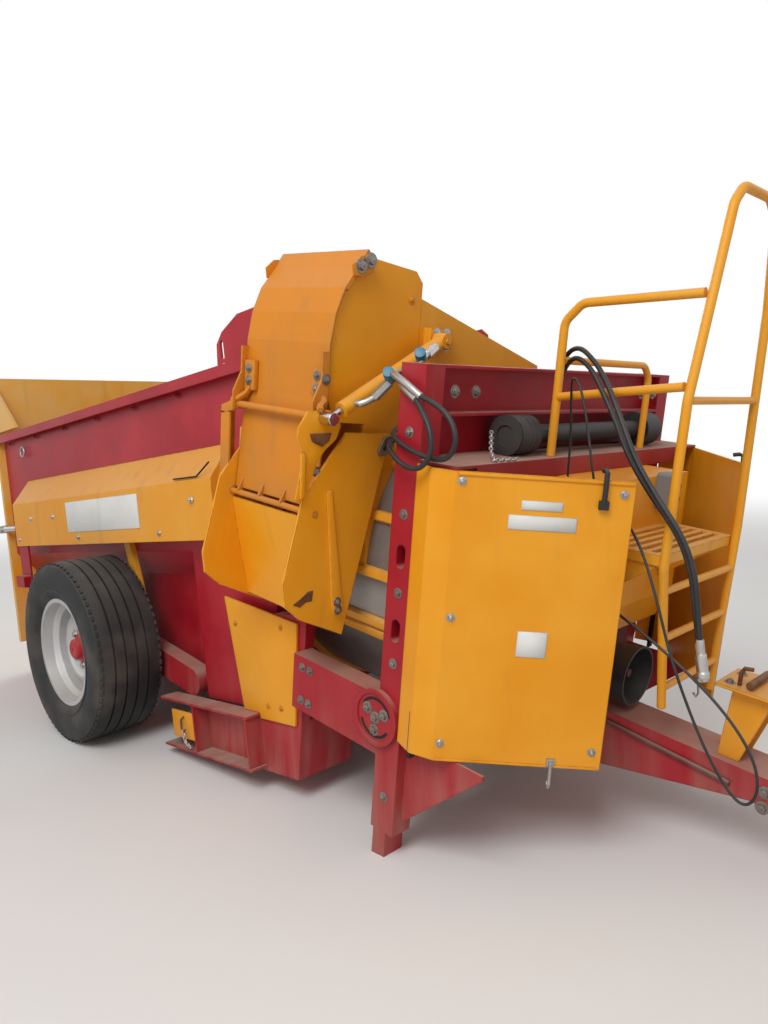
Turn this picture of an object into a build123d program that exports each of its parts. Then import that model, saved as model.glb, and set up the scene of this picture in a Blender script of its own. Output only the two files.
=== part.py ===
"""Towed straw blower, parked on its two wheels and on the feet of its front frame.

Millimetres. +X is forward, towards the drawbar, +Y is the machine's left, +Z is up, and the ground is Z = 0.
The tub and the front frame are each drawn level, measured from the pivot disc that joins them, and every piece
is then turned to the pitch at which it stands and moved so that the whole machine is centred on the origin.
"""
import os
from math import cos, hypot, radians, sin

from build123d import *

os.makedirs("parts", exist_ok=True)

# How the machine stands
PIVOT_Z = 580.0
BODY_PITCH = -4.7
FRAME_PITCH = 8.8
CENTRE_SHIFT = 1229.0

# Fits and sheet
SHEET = 12.0
SEAT = 0.3
RUNNING_GAP = 0.05
CLEAR = 6.0

# Tub, drawn level
TUB_HALF = 820.0
TUB_BACK = -3930.0
FRONT_CUT = -790.0
RIM_Z = 2110.0
RIM_LIP = 55.0
TUB_SILL_Z = 450.0
FLOOR_Z = 512.0
RECESS_END = -1400.0
RECESS_HALF = 690.0
RECESS_TOP_Z = 1230.0
RECESS_BOTTOM_Z = 1080.0
EAR_TOP_Z = 2330.0
INTAKE_R = 480.0
RAIL_W = 80.0

# Tailgate and its hinge
GATE_GAP = 20.0
GATE_THICK = 40.0
GATE_HALF = 860.0
GATE_TOP_Z = 2550.0
GATE_HINGE_Z = 490.0
GATE_HINGE_X = TUB_BACK - GATE_GAP - GATE_THICK / 2
HINGE_PIN_R = 15.0
GATE_CYL_Y = 888.0
GATE_CYL_Z = 1420.0
GATE_CYL_X = -2350.0
GATE_BARREL_R = 32.0
GATE_BARREL_END = 1290.0
GATE_ROD_R = 18.0
GATE_PIN_R = 20.0

# Beaters
BEATER_R = 110.0
TINE_R = 235.0
BEATER_SHAFT_R = 30.0
BEATERS = (("lower", -1120.0, 880.0), ("upper", -960.0, 1430.0))

# Side guard boxes
GUARD_HALF = 950.0
GUARD_TOP_Z = 1750.0
GUARD_MID_Z = 1590.0
GUARD_LOW_Z = 1295.0
GUARD_BACK = -3540.0
GUARD_FRONT = -960.0

# Sills and step brackets
SILL_BACK = -1030.0
SILL_CUT = -530.0
SILL_IN = 540.0
SILL_OUT = 860.0
SILL_LOW_Z = 170.0
COLUMN_BACK = -840.0
COLUMN_TOP_Z = 940.0
STEP_BACK = -1690.0
STEP_FRONT = -880.0
STEP_OUT = 950.0
STEP_LOW_Z = 190.0
STEP_TOP_Z = 455.0

# Wheels and their trailing arms
TYRE_R = 520.0
TYRE_WIDTH = 385.0
TYRE_Y = 1052.5
RIM_R = 285.0
LIP_R = 298.5
WHEEL_X = -2277.0
STUB_R = 55.0
ARM_PIVOT_X = -1530.0
ARM_PIVOT_Z = 395.0
ARM_THICK = 90.0
ARM_HEIGHT = 150.0

# Front frame, drawn level
POST_X = 120.0
POST_OUT = 920.0
POST_Y = 100.0
POST_TOP_Z = 1944.0
BEAM_BACK = 40.0
BEAM_LOW_Z = 1760.0
E_TOP_Z = 668.0
E_LOW_Z = 420.0
DISC_R = 116.0
DISC_THICK = 16.0
FAN_R = 776.0
FAN_Z = 1090.0
FAN_BACK = FRONT_CUT + SEAT
FAN_FRONT = -SEAT
FAN_CAVITY_R = 740.0
FAN_CAVITY_FRONT = -300.0
FAN_SHAFT_R = 35.0
FAN_SHAFT_RUN = 120.0
DECK_Z = 1600.0
DECK_FRONT = 300.0
DRAWBAR_LOW_Z = 317.0
DRAWBAR_HALF = 100.0
EYE_X = 1640.0
EYE_R = 25.0
EYE_LOW_Z = 455.0
EYE_THICK = 50.0
PTO_R = 17.5
PTO_Z = 720.0
PTO_END = 560.0
GEARBOX_FRONT = 440.0
GEARBOX_TOP_Z = 860.0
COVER_FRONT = 500.0
PLATFORM_Z = 1330.0
PLATFORM_THICK = 40.0
PLATFORM_FRONT = 782.0
PLATFORM_RIGHT = -345.0
PLATFORM_LEFT = 285.0
TUBE_R = 17.0
BOOT_R = 78.0
STORED_X = 175.0
STAND_TOP_Z = 850.0

# Chute on the right side of the front frame
CHUTE_INNER_Y = -560.0
CHUTE_FRONT = -260.0
CHUTE_BACK = -740.0
CHUTE_HINGE_Y = -885.0
CHUTE_HINGE_Z = 2300.0
BAR_R = 12.0
SKIN_THICK = 6.0
FLAP_HINGE_Y = -1100.0
FLAP_HINGE_Z = 1362.0
SHAFT_Y = -1090.0
SHAFT_Z = 1725.0
SHAFT_R = 14.0
CYL_X = -185.0
CYL_Y = -500.0
CYL_Z = 2030.0
CYL_R = 30.0
ROD_R = 14.0


def keep(label, piece, pitch=0.0):
    """Pitch a finished piece about the pivot, centre it, label it and write its STEP file."""
    axis = Axis((0, 0, PIVOT_Z), (0, 1, 0))
    solid = piece.part.rotate(axis, pitch).translate((CENTRE_SHIFT, 0, 0))
    solid.label = label
    export_step(solid, "parts/" + label + ".step")


def band(points, thickness):
    """Closed outline of a folded sheet: the given face, and the same face moved to the left of travel."""
    unit = []
    for (x0, y0), (x1, y1) in zip(points, points[1:]):
        run = hypot(x1 - x0, y1 - y0)
        unit.append(((x1 - x0) / run, (y1 - y0) / run))
    back = []
    for i, (x, y) in enumerate(points):
        before = unit[max(i - 1, 0)]
        after = unit[min(i, len(unit) - 1)]
        nx, ny = -(before[1] + after[1]), before[0] + after[0]
        size = hypot(nx, ny)
        nx, ny = nx / size, ny / size
        mitre = thickness / (ny * after[0] - nx * after[1])
        back.append((x + nx * mitre, y + ny * mitre))
    return list(points) + back[::-1]


def outline(*points):
    """A straight-sided face on the sketch in hand."""
    with BuildLine() as edge:
        Polyline(*points, close=True)
    make_face(edge.edges())


def section_x(x):
    """A cross-section plane: its own X is world Y and its own Y is world Z; it extrudes forward."""
    return Plane(origin=(x, 0, 0), x_dir=(0, 1, 0), z_dir=(1, 0, 0))


def elevation_y(y):
    """A side-view plane: its own X is world X and its own Y is world Z; it extrudes towards the right."""
    return Plane(origin=(0, y, 0), x_dir=(1, 0, 0), z_dir=(0, -1, 0))


def wall_start(s, low, high):
    """Where a slab between two distances from the centreline starts, so that it extrudes to the right."""
    return elevation_y(-low if s < 0 else high)


def frame_plane(x):
    """The front frame's cross-section at x, as it lies in the tub's own level drawing."""
    lean = radians(FRAME_PITCH - BODY_PITCH)
    normal = (cos(lean), 0, -sin(lean))
    return Plane(origin=(x * normal[0], 0, PIVOT_Z + x * normal[2]), x_dir=(0, 1, 0), z_dir=normal)


def tube_run(points, radius, bend=60.0):
    """A round tube along straight runs, with a bend of the given radius at each corner."""
    with BuildPart() as run:
        with BuildLine() as route:
            if len(points) > 2:
                FilletPolyline(*points, radius=bend)
            else:
                Line(*points)
        with BuildSketch(Plane(origin=points[0], z_dir=Vector(*points[1]) - Vector(*points[0]))):
            Circle(radius)
        sweep(path=route.line)
    return run


SIDES = (("right", -1), ("left", 1))

# Tub: side walls with a folded rim, stepped in over the wheels
for side, s in SIDES:
    with BuildPart() as tub_side:
        with BuildSketch(section_x(TUB_BACK)):
            outline(
                (s * RECESS_HALF, TUB_SILL_Z), (s * RECESS_HALF, RECESS_BOTTOM_Z),
                (s * TUB_HALF, RECESS_TOP_Z), (s * TUB_HALF, RIM_Z), (s * (TUB_HALF - SHEET), RIM_Z),
                (s * (TUB_HALF - SHEET), RECESS_TOP_Z + 4), (s * (RECESS_HALF - SHEET), RECESS_BOTTOM_Z + 4),
                (s * (RECESS_HALF - SHEET), TUB_SILL_Z))
        extrude(amount=RECESS_END - TUB_BACK)
        with BuildSketch(section_x(RECESS_END)):
            with Locations((s * (TUB_HALF - SHEET / 2), (TUB_SILL_Z + RIM_Z) / 2)):
                Rectangle(SHEET, RIM_Z - TUB_SILL_Z)
        extrude(amount=-RECESS_END)
        with BuildSketch(section_x(RECESS_END - SHEET)):
            outline(
                (s * (RECESS_HALF - SHEET), TUB_SILL_Z), (s * TUB_HALF, TUB_SILL_Z),
                (s * TUB_HALF, RECESS_TOP_Z), (s * (RECESS_HALF - SHEET), RECESS_BOTTOM_Z))
        extrude(amount=SHEET)
        with BuildSketch(section_x(TUB_BACK)):
            outline(
                (s * (TUB_HALF - SHEET), RIM_Z - SHEET), (s * (TUB_HALF - SHEET), RIM_Z),
                (s * (TUB_HALF + RIM_LIP), RIM_Z), (s * (TUB_HALF + RIM_LIP), RIM_Z - RIM_LIP),
                (s * (TUB_HALF + RIM_LIP - SHEET), RIM_Z - RIM_LIP),
                (s * (TUB_HALF + RIM_LIP - SHEET), RIM_Z - SHEET))
        extrude(amount=-TUB_BACK)
        split(bisect_by=frame_plane(FRONT_CUT), keep=Keep.BOTTOM)
        with BuildSketch(wall_start(s, RECESS_HALF - SHEET, RECESS_HALF)):
            outline(
                (TUB_BACK, TUB_SILL_Z), (GATE_HINGE_X - 30, TUB_SILL_Z), (GATE_HINGE_X - 30, GATE_HINGE_Z + 30),
                (TUB_BACK, GATE_HINGE_Z + 50))
        extrude(amount=SHEET)
        with BuildSketch(wall_start(s, RECESS_HALF - SHEET, RECESS_HALF)):
            with Locations((GATE_HINGE_X, GATE_HINGE_Z)):
                Circle(HINGE_PIN_R + RUNNING_GAP)
        extrude(amount=SHEET, mode=Mode.SUBTRACT)
        with BuildSketch(wall_start(s, TUB_HALF - 2 * SHEET, TUB_HALF + SHEET)):
            for name, x, z in BEATERS:
                with Locations((x, z)):
                    Circle(BEATER_SHAFT_R + RUNNING_GAP)
        extrude(amount=3 * SHEET, mode=Mode.SUBTRACT)
        with BuildSketch(wall_start(s, TUB_HALF - SHEET, GATE_CYL_Y + GATE_BARREL_R + 2)):
            with Locations((GATE_CYL_X, GATE_CYL_Z)):
                Circle(GATE_PIN_R)
        extrude(amount=GATE_CYL_Y + GATE_BARREL_R + 2 - TUB_HALF + SHEET)
    keep("tub_side_" + side, tub_side, BODY_PITCH)

# Tub: floor on its two long rails, and the front wall with the round intake to the fan
with BuildPart() as tub_floor:
    with BuildSketch(Plane.XY.offset(FLOOR_Z - SHEET)):
        with Locations((TUB_BACK + 20, 0)):
            Rectangle(-TUB_BACK, 2 * (RECESS_HALF - SHEET - SEAT), align=(Align.MIN, Align.CENTER))
        with Locations((RECESS_END + SEAT, 0)):
            Rectangle(-RECESS_END, 2 * (TUB_HALF - SHEET - SEAT), align=(Align.MIN, Align.CENTER))
    extrude(amount=SHEET)
    with BuildSketch(Plane.XY.offset(TUB_SILL_Z)):
        for s in (-1, 1):
            with Locations((TUB_BACK + 20, s * (RECESS_HALF - SHEET - SEAT - RAIL_W / 2))):
                Rectangle(-TUB_BACK, RAIL_W, align=(Align.MIN, Align.CENTER))
    extrude(amount=FLOOR_Z - SHEET - TUB_SILL_Z)
    split(bisect_by=frame_plane(FRONT_CUT - SHEET - SEAT), keep=Keep.BOTTOM)
keep("tub_floor", tub_floor, BODY_PITCH)

WALL_LOW_Z = 290.0
WALL_TOP_Z = 2005.0
with BuildPart() as tub_front:
    with BuildSketch(section_x(FRONT_CUT - SHEET)):
        with Locations((0, (WALL_LOW_Z + WALL_TOP_Z) / 2)):
            Rectangle(2 * (TUB_HALF - SHEET - SEAT), WALL_TOP_Z - WALL_LOW_Z)
        with Locations((0, FAN_Z)):
            Circle(INTAKE_R, mode=Mode.SUBTRACT)
    extrude(amount=SHEET)
keep("tub_front_wall", tub_front, FRAME_PITCH)

# Floor conveyor: two long chains and the slats that they draw along the tub's floor
SLAT_PITCH = 300.0
SLAT_COUNT = 10
CHAIN_Y = 480.0
CHAIN_BACK = TUB_BACK + 80
with BuildPart() as conveyor:
    with BuildSketch(Plane.XY.offset(FLOOR_Z + SEAT)):
        for s in (-1, 1):
            with Locations((CHAIN_BACK, s * CHAIN_Y)):
                Rectangle(SLAT_PITCH * SLAT_COUNT - 60, 40, align=(Align.MIN, Align.CENTER))
    extrude(amount=22)
    with BuildSketch(Plane.XY.offset(FLOOR_Z + SEAT)):
        for i in range(SLAT_COUNT):
            with Locations((CHAIN_BACK + 60 + i * SLAT_PITCH, 0)):
                Rectangle(46, 2 * (RECESS_HALF - SHEET) - 60)
    extrude(amount=40)
keep("floor_conveyor", conveyor, BODY_PITCH)

# Beaters: drums with rows of tines, on shafts that run in the tub's sides
for name, x, z in BEATERS:
    with BuildPart() as beater:
        drum_half = TUB_HALF - SHEET - 40
        beater_plane = Plane(origin=(x, -drum_half, z), x_dir=(1, 0, 0), z_dir=(0, 1, 0))
        with BuildSketch(beater_plane):
            Circle(BEATER_R)
        extrude(amount=2 * drum_half)
        with BuildSketch(beater_plane.offset(-40 - SHEET)):
            Circle(BEATER_SHAFT_R)
        extrude(amount=2 * (drum_half + 40 + SHEET))
        for i in range(8):
            with BuildSketch(beater_plane.offset(70 + i * (2 * drum_half - 152) / 7)):
                with PolarLocations(0, 4, start_angle=22.5 * (i % 4)):
                    with Locations((TINE_R / 2, 0)):
                        Rectangle(TINE_R, 26)
            extrude(amount=12)
    keep("beater_" + name, beater, BODY_PITCH)

# Ears that stand on the rim at the tub's front corners
for side, s in SIDES:
    with BuildPart() as ear_plate:
        with BuildSketch(wall_start(s, TUB_HALF - SHEET, TUB_HALF)):
            outline(
                (-995, RIM_Z + SEAT), (-982, 2225), (-929, 2275), (-790, EAR_TOP_Z), (-640, EAR_TOP_Z),
                (-600, 2290), (-600, RIM_Z + SEAT))
            with Locations((-940, 2190)):
                SlotOverall(90, 26, rotation=90, mode=Mode.SUBTRACT)
        extrude(amount=SHEET)
    keep("ear_plate_" + side, ear_plate, BODY_PITCH)

# Side guards: long folded boxes along the tub, open below and behind for the tailgate's cylinders
LIP = 24.0
FOLD = 5.0
for side, s in SIDES:
    seat_y = TUB_HALF + SEAT
    with BuildPart() as guard:
        with BuildSketch(section_x(GUARD_BACK)):
            outline(
                (s * seat_y, GUARD_TOP_Z), (s * GUARD_HALF, GUARD_MID_Z), (s * GUARD_HALF, GUARD_LOW_Z),
                (s * (GUARD_HALF - LIP), GUARD_LOW_Z), (s * (GUARD_HALF - LIP), GUARD_LOW_Z + SHEET),
                (s * (GUARD_HALF - SHEET), GUARD_LOW_Z + SHEET), (s * (GUARD_HALF - SHEET), GUARD_MID_Z - FOLD),
                (s * seat_y, GUARD_TOP_Z - SHEET - FOLD))
        extrude(amount=GUARD_FRONT - GUARD_BACK)
        with BuildSketch(section_x(GUARD_FRONT - SHEET)):
            outline(
                (s * seat_y, GUARD_TOP_Z), (s * GUARD_HALF, GUARD_MID_Z), (s * GUARD_HALF, GUARD_LOW_Z),
                (s * seat_y, GUARD_LOW_Z))
        extrude(amount=SHEET)
    keep("side_guard_" + side, guard, BODY_PITCH)

# Rear lamps on plates that hang from the side guards
LAMP_X = GUARD_BACK + 100
LAMP_Z = 1050.0
LAMP_DEEP = 48.0
for side, s in SIDES:
    with BuildPart() as lamp:
        with BuildSketch(wall_start(s, GUARD_HALF - LIP, GUARD_HALF - SHEET)):
            outline(
                (GUARD_BACK, GUARD_LOW_Z - SEAT), (GUARD_BACK, LAMP_Z - 50), (LAMP_X + 60, LAMP_Z - 50),
                (LAMP_X + 60, GUARD_LOW_Z - SEAT))
        extrude(amount=LIP - SHEET)
        with BuildSketch(wall_start(s, GUARD_HALF - SHEET, GUARD_HALF - SHEET + LAMP_DEEP)):
            with Locations((LAMP_X - 20, LAMP_Z)):
                RectangleRounded(140, 80, 12)
        extrude(amount=LAMP_DEEP)
    keep("rear_lamp_" + side, lamp, BODY_PITCH)

# Sills under the tub's front corners, with the columns that meet the front frame and the step brackets
for side, s in SIDES:
    with BuildPart() as sill:
        with BuildSketch(wall_start(s, SILL_IN, SILL_OUT)):
            outline((SILL_BACK, SILL_LOW_Z), (0, SILL_LOW_Z), (0, TUB_SILL_Z - SEAT), (SILL_BACK, TUB_SILL_Z - SEAT))
        extrude(amount=SILL_OUT - SILL_IN)
        with BuildSketch(wall_start(s, TUB_HALF - SHEET, SILL_OUT)):
            outline(
                (COLUMN_BACK + 100, TUB_SILL_Z - 2), (0, TUB_SILL_Z - 2), (0, COLUMN_TOP_Z),
                (COLUMN_BACK + 150, COLUMN_TOP_Z))
        extrude(amount=SILL_OUT - TUB_HALF + SHEET)
        split(bisect_by=frame_plane(SILL_CUT), keep=Keep.BOTTOM)
        with BuildSketch(wall_start(s, SILL_OUT - SHEET, SILL_OUT)):
            outline(
                (STEP_BACK + 310, STEP_LOW_Z), (SILL_BACK, STEP_LOW_Z), (SILL_BACK, STEP_TOP_Z),
                (STEP_BACK + 310, STEP_TOP_Z))
        extrude(amount=SHEET)
        with BuildSketch(wall_start(s, SILL_OUT - SHEET, STEP_OUT)):
            for z in (STEP_LOW_Z + SHEET / 2, STEP_TOP_Z - SHEET / 2):
                with Locations(((STEP_BACK + STEP_FRONT) / 2, z)):
                    Rectangle(STEP_FRONT - STEP_BACK, SHEET)
            for x in (STEP_BACK + 320, STEP_FRONT - 20):
                with Locations((x, (STEP_LOW_Z + STEP_TOP_Z) / 2)):
                    Rectangle(SHEET, STEP_TOP_Z - STEP_LOW_Z)
        extrude(amount=STEP_OUT - SILL_OUT + SHEET)
    keep("sill_" + side, sill, BODY_PITCH)

# Skirt panels beside the tub's front corners
for side, s in SIDES:
    with BuildPart() as skirt:
        with BuildSketch(wall_start(s, SILL_OUT + SEAT, SILL_OUT + SEAT + SHEET)):
            outline(
                (-1075, 1010), (-520, 905), (-645, 430), (STEP_FRONT + 20, 430), (STEP_FRONT + 2, STEP_TOP_Z + SEAT))
        extrude(amount=SHEET)
    keep("skirt_panel_" + side, skirt, BODY_PITCH)

# Trailing wheel arms with their stub axles, and the flat struts that hold the tub up on them
ARM_OUT = TYRE_Y - TYRE_WIDTH / 2 - 22
STRUT_WIDE = 70.0
STRUT_THICK = 34.0
STRUT_LOW_X = -1900.0
STRUT_LEAN = 0.33
STRUT_TOP_Z = 1200.0
arm_run = hypot(ARM_PIVOT_X - WHEEL_X, ARM_PIVOT_Z - TYRE_R)
arm_x = (ARM_PIVOT_X - WHEEL_X) / arm_run
arm_z = (ARM_PIVOT_Z - TYRE_R) / arm_run
half_arm = ARM_HEIGHT / 2


def arm_top(x):
    """Height of a wheel arm's upper edge at x."""
    return TYRE_R + (x - WHEEL_X) * arm_z / arm_x + half_arm / arm_x


for side, s in SIDES:
    with BuildPart() as arm:
        with BuildSketch(wall_start(s, ARM_OUT - ARM_THICK, ARM_OUT)):
            outline(
                (WHEEL_X - arm_z * half_arm, TYRE_R + arm_x * half_arm),
                (ARM_PIVOT_X - arm_z * half_arm, ARM_PIVOT_Z + arm_x * half_arm),
                (ARM_PIVOT_X + arm_z * half_arm, ARM_PIVOT_Z - arm_x * half_arm),
                (WHEEL_X + arm_z * half_arm, TYRE_R - arm_x * half_arm))
            with Locations((WHEEL_X, TYRE_R), (ARM_PIVOT_X, ARM_PIVOT_Z)):
                Circle(half_arm)
        extrude(amount=ARM_THICK)
        with BuildSketch(wall_start(s, RECESS_HALF + SEAT, ARM_OUT - ARM_THICK)):
            with Locations((ARM_PIVOT_X, ARM_PIVOT_Z)):
                Circle(half_arm - 15)
        extrude(amount=ARM_OUT - ARM_THICK - RECESS_HALF - SEAT)
        with BuildSketch(wall_start(s, ARM_OUT, TYRE_Y + 55)):
            with Locations((WHEEL_X, TYRE_R)):
                Circle(STUB_R)
        extrude(amount=TYRE_Y + 55 - ARM_OUT)
    keep("wheel_arm_" + side, arm)
    strut_in = TUB_HALF + SEAT
    strut_top_x = STRUT_LOW_X - STRUT_LEAN * (STRUT_TOP_Z - arm_top(STRUT_LOW_X))
    with BuildPart() as strut:
        with BuildSketch(wall_start(s, strut_in, strut_in + STRUT_THICK)):
            outline(
                (STRUT_LOW_X, arm_top(STRUT_LOW_X) + SEAT), (strut_top_x, STRUT_TOP_Z),
                (strut_top_x - STRUT_WIDE, STRUT_TOP_Z),
                (STRUT_LOW_X - STRUT_WIDE, arm_top(STRUT_LOW_X - STRUT_WIDE) + SEAT))
        extrude(amount=STRUT_THICK)
    keep("wheel_strut_" + side, strut)

# Wheels: tyres with rounded shoulders on deep-dished disc rims
half_tyre = TYRE_WIDTH / 2
for side, s in SIDES:
    across = Plane(origin=(WHEEL_X, s * TYRE_Y, TYRE_R), x_dir=(0, s, 0), z_dir=(s, 0, 0))
    axle = Axis((WHEEL_X, 0, TYRE_R), (0, 1, 0))
    with BuildPart() as tyre:
        with BuildSketch(across):
            outline(
                (-half_tyre + 36, RIM_R + SEAT), (-half_tyre + 4, 330), (-half_tyre, 400), (-half_tyre + 6, 465),
                (-half_tyre + 28, 505), (-half_tyre + 60, TYRE_R), (half_tyre - 60, TYRE_R),
                (half_tyre - 28, 505), (half_tyre - 6, 465), (half_tyre, 400), (half_tyre - 4, 330),
                (half_tyre - 36, RIM_R + SEAT))
        revolve(axis=axle)
    keep("tyre_" + side, tyre)
    with BuildPart() as rim:
        with BuildSketch(across):
            outline(
                (-half_tyre + 30, RIM_R), (half_tyre - 30, RIM_R), (half_tyre - 22, LIP_R),
                (half_tyre - 12, LIP_R), (half_tyre - 12, RIM_R - 16), (60, 240), (50, 214), (16, 205), (16, 120),
                (50, 100), (50, STUB_R + RUNNING_GAP), (-70, STUB_R + RUNNING_GAP), (-70, 110), (0, 130),
                (5, 225), (-60, 255), (-half_tyre + 12, RIM_R - 16), (-half_tyre + 12, LIP_R),
                (-half_tyre + 22, LIP_R))
        revolve(axis=axle)
    keep("rim_" + side, rim)

# Front posts with their feet and pivot discs, and the short beams that run back to the tub
LEG_BACK = 15.0
LEG_FRONT = 85.0
LEG_TOP_Z = 110.0
POST_SLOTS = (1240.0, 950.0)


def ground_z(x):
    """Height of the ground at x, as it lies in the front frame's own level drawing."""
    lean = radians(FRAME_PITCH)
    return PIVOT_Z + (x * sin(lean) - PIVOT_Z) / cos(lean)


for side, s in SIDES:
    post_in = POST_OUT - POST_Y
    with BuildPart() as post:
        with BuildSketch(wall_start(s, post_in, POST_OUT)):
            outline(
                (0, POST_TOP_Z), (POST_X, POST_TOP_Z), (POST_X, LEG_TOP_Z), (LEG_FRONT, LEG_TOP_Z),
                (LEG_FRONT, ground_z(LEG_FRONT)), (LEG_BACK, ground_z(LEG_BACK)), (LEG_BACK, LEG_TOP_Z),
                (0, LEG_TOP_Z))
            for z in POST_SLOTS:
                with Locations((POST_X / 2, z)):
                    SlotOverall(90, 44, rotation=90, mode=Mode.SUBTRACT)
        extrude(amount=POST_Y)
        with BuildSketch(wall_start(s, post_in, POST_OUT)):
            outline((SILL_CUT + SEAT, E_LOW_Z), (0, E_LOW_Z), (0, E_TOP_Z), (SILL_CUT + SEAT, E_TOP_Z))
        extrude(amount=POST_Y)
        with BuildSketch(wall_start(s, post_in + 40, post_in + 40 + SHEET)):
            outline((POST_X, 160), (485, 505), (485, 525), (POST_X, 525))
        extrude(amount=SHEET)
        with BuildSketch(wall_start(s, POST_OUT, POST_OUT + DISC_THICK)):
            with Locations((0, PIVOT_Z)):
                Circle(DISC_R)
        extrude(amount=DISC_THICK)
    keep("front_post_" + side, post, FRAME_PITCH)

# Cross beams of the front frame: an upper channel with its web plate, and a lower box
beam_half = POST_OUT - POST_Y - SEAT
with BuildPart() as upper_beam:
    with BuildSketch(elevation_y(beam_half)):
        outline(
            (POST_X, BEAM_LOW_Z), (BEAM_BACK, BEAM_LOW_Z), (BEAM_BACK, POST_TOP_Z), (POST_X, POST_TOP_Z),
            (POST_X, POST_TOP_Z - SHEET), (BEAM_BACK + SHEET, POST_TOP_Z - SHEET),
            (BEAM_BACK + SHEET, BEAM_LOW_Z + SHEET), (POST_X, BEAM_LOW_Z + SHEET))
        outline(
            (BEAM_BACK, DECK_Z), (BEAM_BACK + SHEET, DECK_Z), (BEAM_BACK + SHEET, BEAM_LOW_Z),
            (BEAM_BACK, BEAM_LOW_Z))
    extrude(amount=2 * beam_half)
keep("upper_beam", upper_beam, FRAME_PITCH)

with BuildPart() as lower_beam:
    with BuildSketch(elevation_y(beam_half)):
        outline((0, DRAWBAR_LOW_Z), (POST_X, DRAWBAR_LOW_Z), (POST_X, E_TOP_Z), (0, E_TOP_Z))
    extrude(amount=2 * beam_half)
keep("lower_beam", lower_beam, FRAME_PITCH)

# Drawbar: a tapered box with the towing eye at its tip
DRAWBAR_TOP_BACK = 578.0
DRAWBAR_TOP_SLOPE = -0.0234
DRAWBAR_TIP = 1500.0


def drawbar_top(x):
    """Height of the drawbar's upper face at x."""
    return DRAWBAR_TOP_BACK + (x - POST_X) * DRAWBAR_TOP_SLOPE


with BuildPart() as drawbar:
    with BuildSketch(elevation_y(DRAWBAR_HALF)):
        outline(
            (POST_X + SEAT, DRAWBAR_LOW_Z), (POST_X + SEAT, drawbar_top(POST_X + SEAT)),
            (DRAWBAR_TIP, drawbar_top(DRAWBAR_TIP)), (DRAWBAR_TIP, 430), (1130, 445), (480, DRAWBAR_LOW_Z))
    extrude(amount=2 * DRAWBAR_HALF)
    with BuildSketch(Plane.XY.offset(EYE_LOW_Z)):
        with Locations((EYE_X, 0)):
            Circle(75)
        with Locations((DRAWBAR_TIP - 50, 0)):
            Rectangle(EYE_X - DRAWBAR_TIP + 50, 110, align=(Align.MIN, Align.CENTER))
    extrude(amount=EYE_THICK)
    with BuildSketch(Plane.XY.offset(EYE_LOW_Z)):
        with Locations((EYE_X, 0)):
            Circle(EYE_R)
    extrude(amount=EYE_THICK, mode=Mode.SUBTRACT)
keep("drawbar", drawbar, FRAME_PITCH)

# Stand bracket on the drawbar that props the drive shaft
with BuildPart() as stand:
    with BuildSketch(elevation_y(110)):
        outline((950, STAND_TOP_Z - SHEET), (1180, STAND_TOP_Z - SHEET), (1180, STAND_TOP_Z), (950, STAND_TOP_Z))
    extrude(amount=220)
    for y in (-60 + SHEET, 60):
        with BuildSketch(elevation_y(y)):
            outline(
                (980, drawbar_top(980) + SEAT), (1060, drawbar_top(1060) + SEAT), (1150, STAND_TOP_Z - SHEET),
                (1000, STAND_TOP_Z - SHEET))
        extrude(amount=SHEET)
keep("drawbar_stand", stand, FRAME_PITCH)

# Fan: a drum open behind to the tub's intake and above to the chute, with its paddle rotor
with BuildPart() as fan_housing:
    with BuildSketch(section_x(FAN_BACK)):
        with Locations((0, FAN_Z)):
            Circle(FAN_R)
    extrude(amount=FAN_FRONT - FAN_BACK)
    with BuildSketch(section_x(FAN_BACK)):
        with Locations((0, FAN_Z)):
            Circle(FAN_CAVITY_R)
    extrude(amount=FAN_CAVITY_FRONT - FAN_BACK, mode=Mode.SUBTRACT)
    with BuildSketch(section_x(CHUTE_BACK + SHEET)):
        outline((-FAN_R - 10, 1160), (-FAN_R - 10, 1700), (CHUTE_INNER_Y - 30, 1700), (CHUTE_INNER_Y - 30, 1160))
    extrude(amount=FAN_CAVITY_FRONT - CHUTE_BACK - SHEET, mode=Mode.SUBTRACT)
    with BuildSketch(section_x(FAN_CAVITY_FRONT)):
        with Locations((0, FAN_Z)):
            Circle(FAN_SHAFT_R + RUNNING_GAP)
    extrude(amount=FAN_SHAFT_RUN, mode=Mode.SUBTRACT)
keep("fan_housing", fan_housing, FRAME_PITCH)

PADDLES = 8
PADDLE_DEEP = 300.0
PADDLE_R = FAN_CAVITY_R - 30
with BuildPart() as rotor:
    with BuildSketch(section_x(FAN_CAVITY_FRONT - 30)):
        with Locations((0, FAN_Z)):
            Circle(PADDLE_R)
    extrude(amount=20)
    with BuildSketch(section_x(FAN_CAVITY_FRONT - 30 - PADDLE_DEEP)):
        with Locations((0, FAN_Z)):
            Circle(110)
            with PolarLocations(0, PADDLES):
                with Locations((PADDLE_R / 2, 0)):
                    Rectangle(PADDLE_R, SHEET)
    extrude(amount=PADDLE_DEEP)
    with BuildSketch(section_x(FAN_CAVITY_FRONT - 20)):
        with Locations((0, FAN_Z)):
            Circle(FAN_SHAFT_R)
    extrude(amount=FAN_SHAFT_RUN)
keep("fan_rotor", rotor, FRAME_PITCH)

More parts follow.
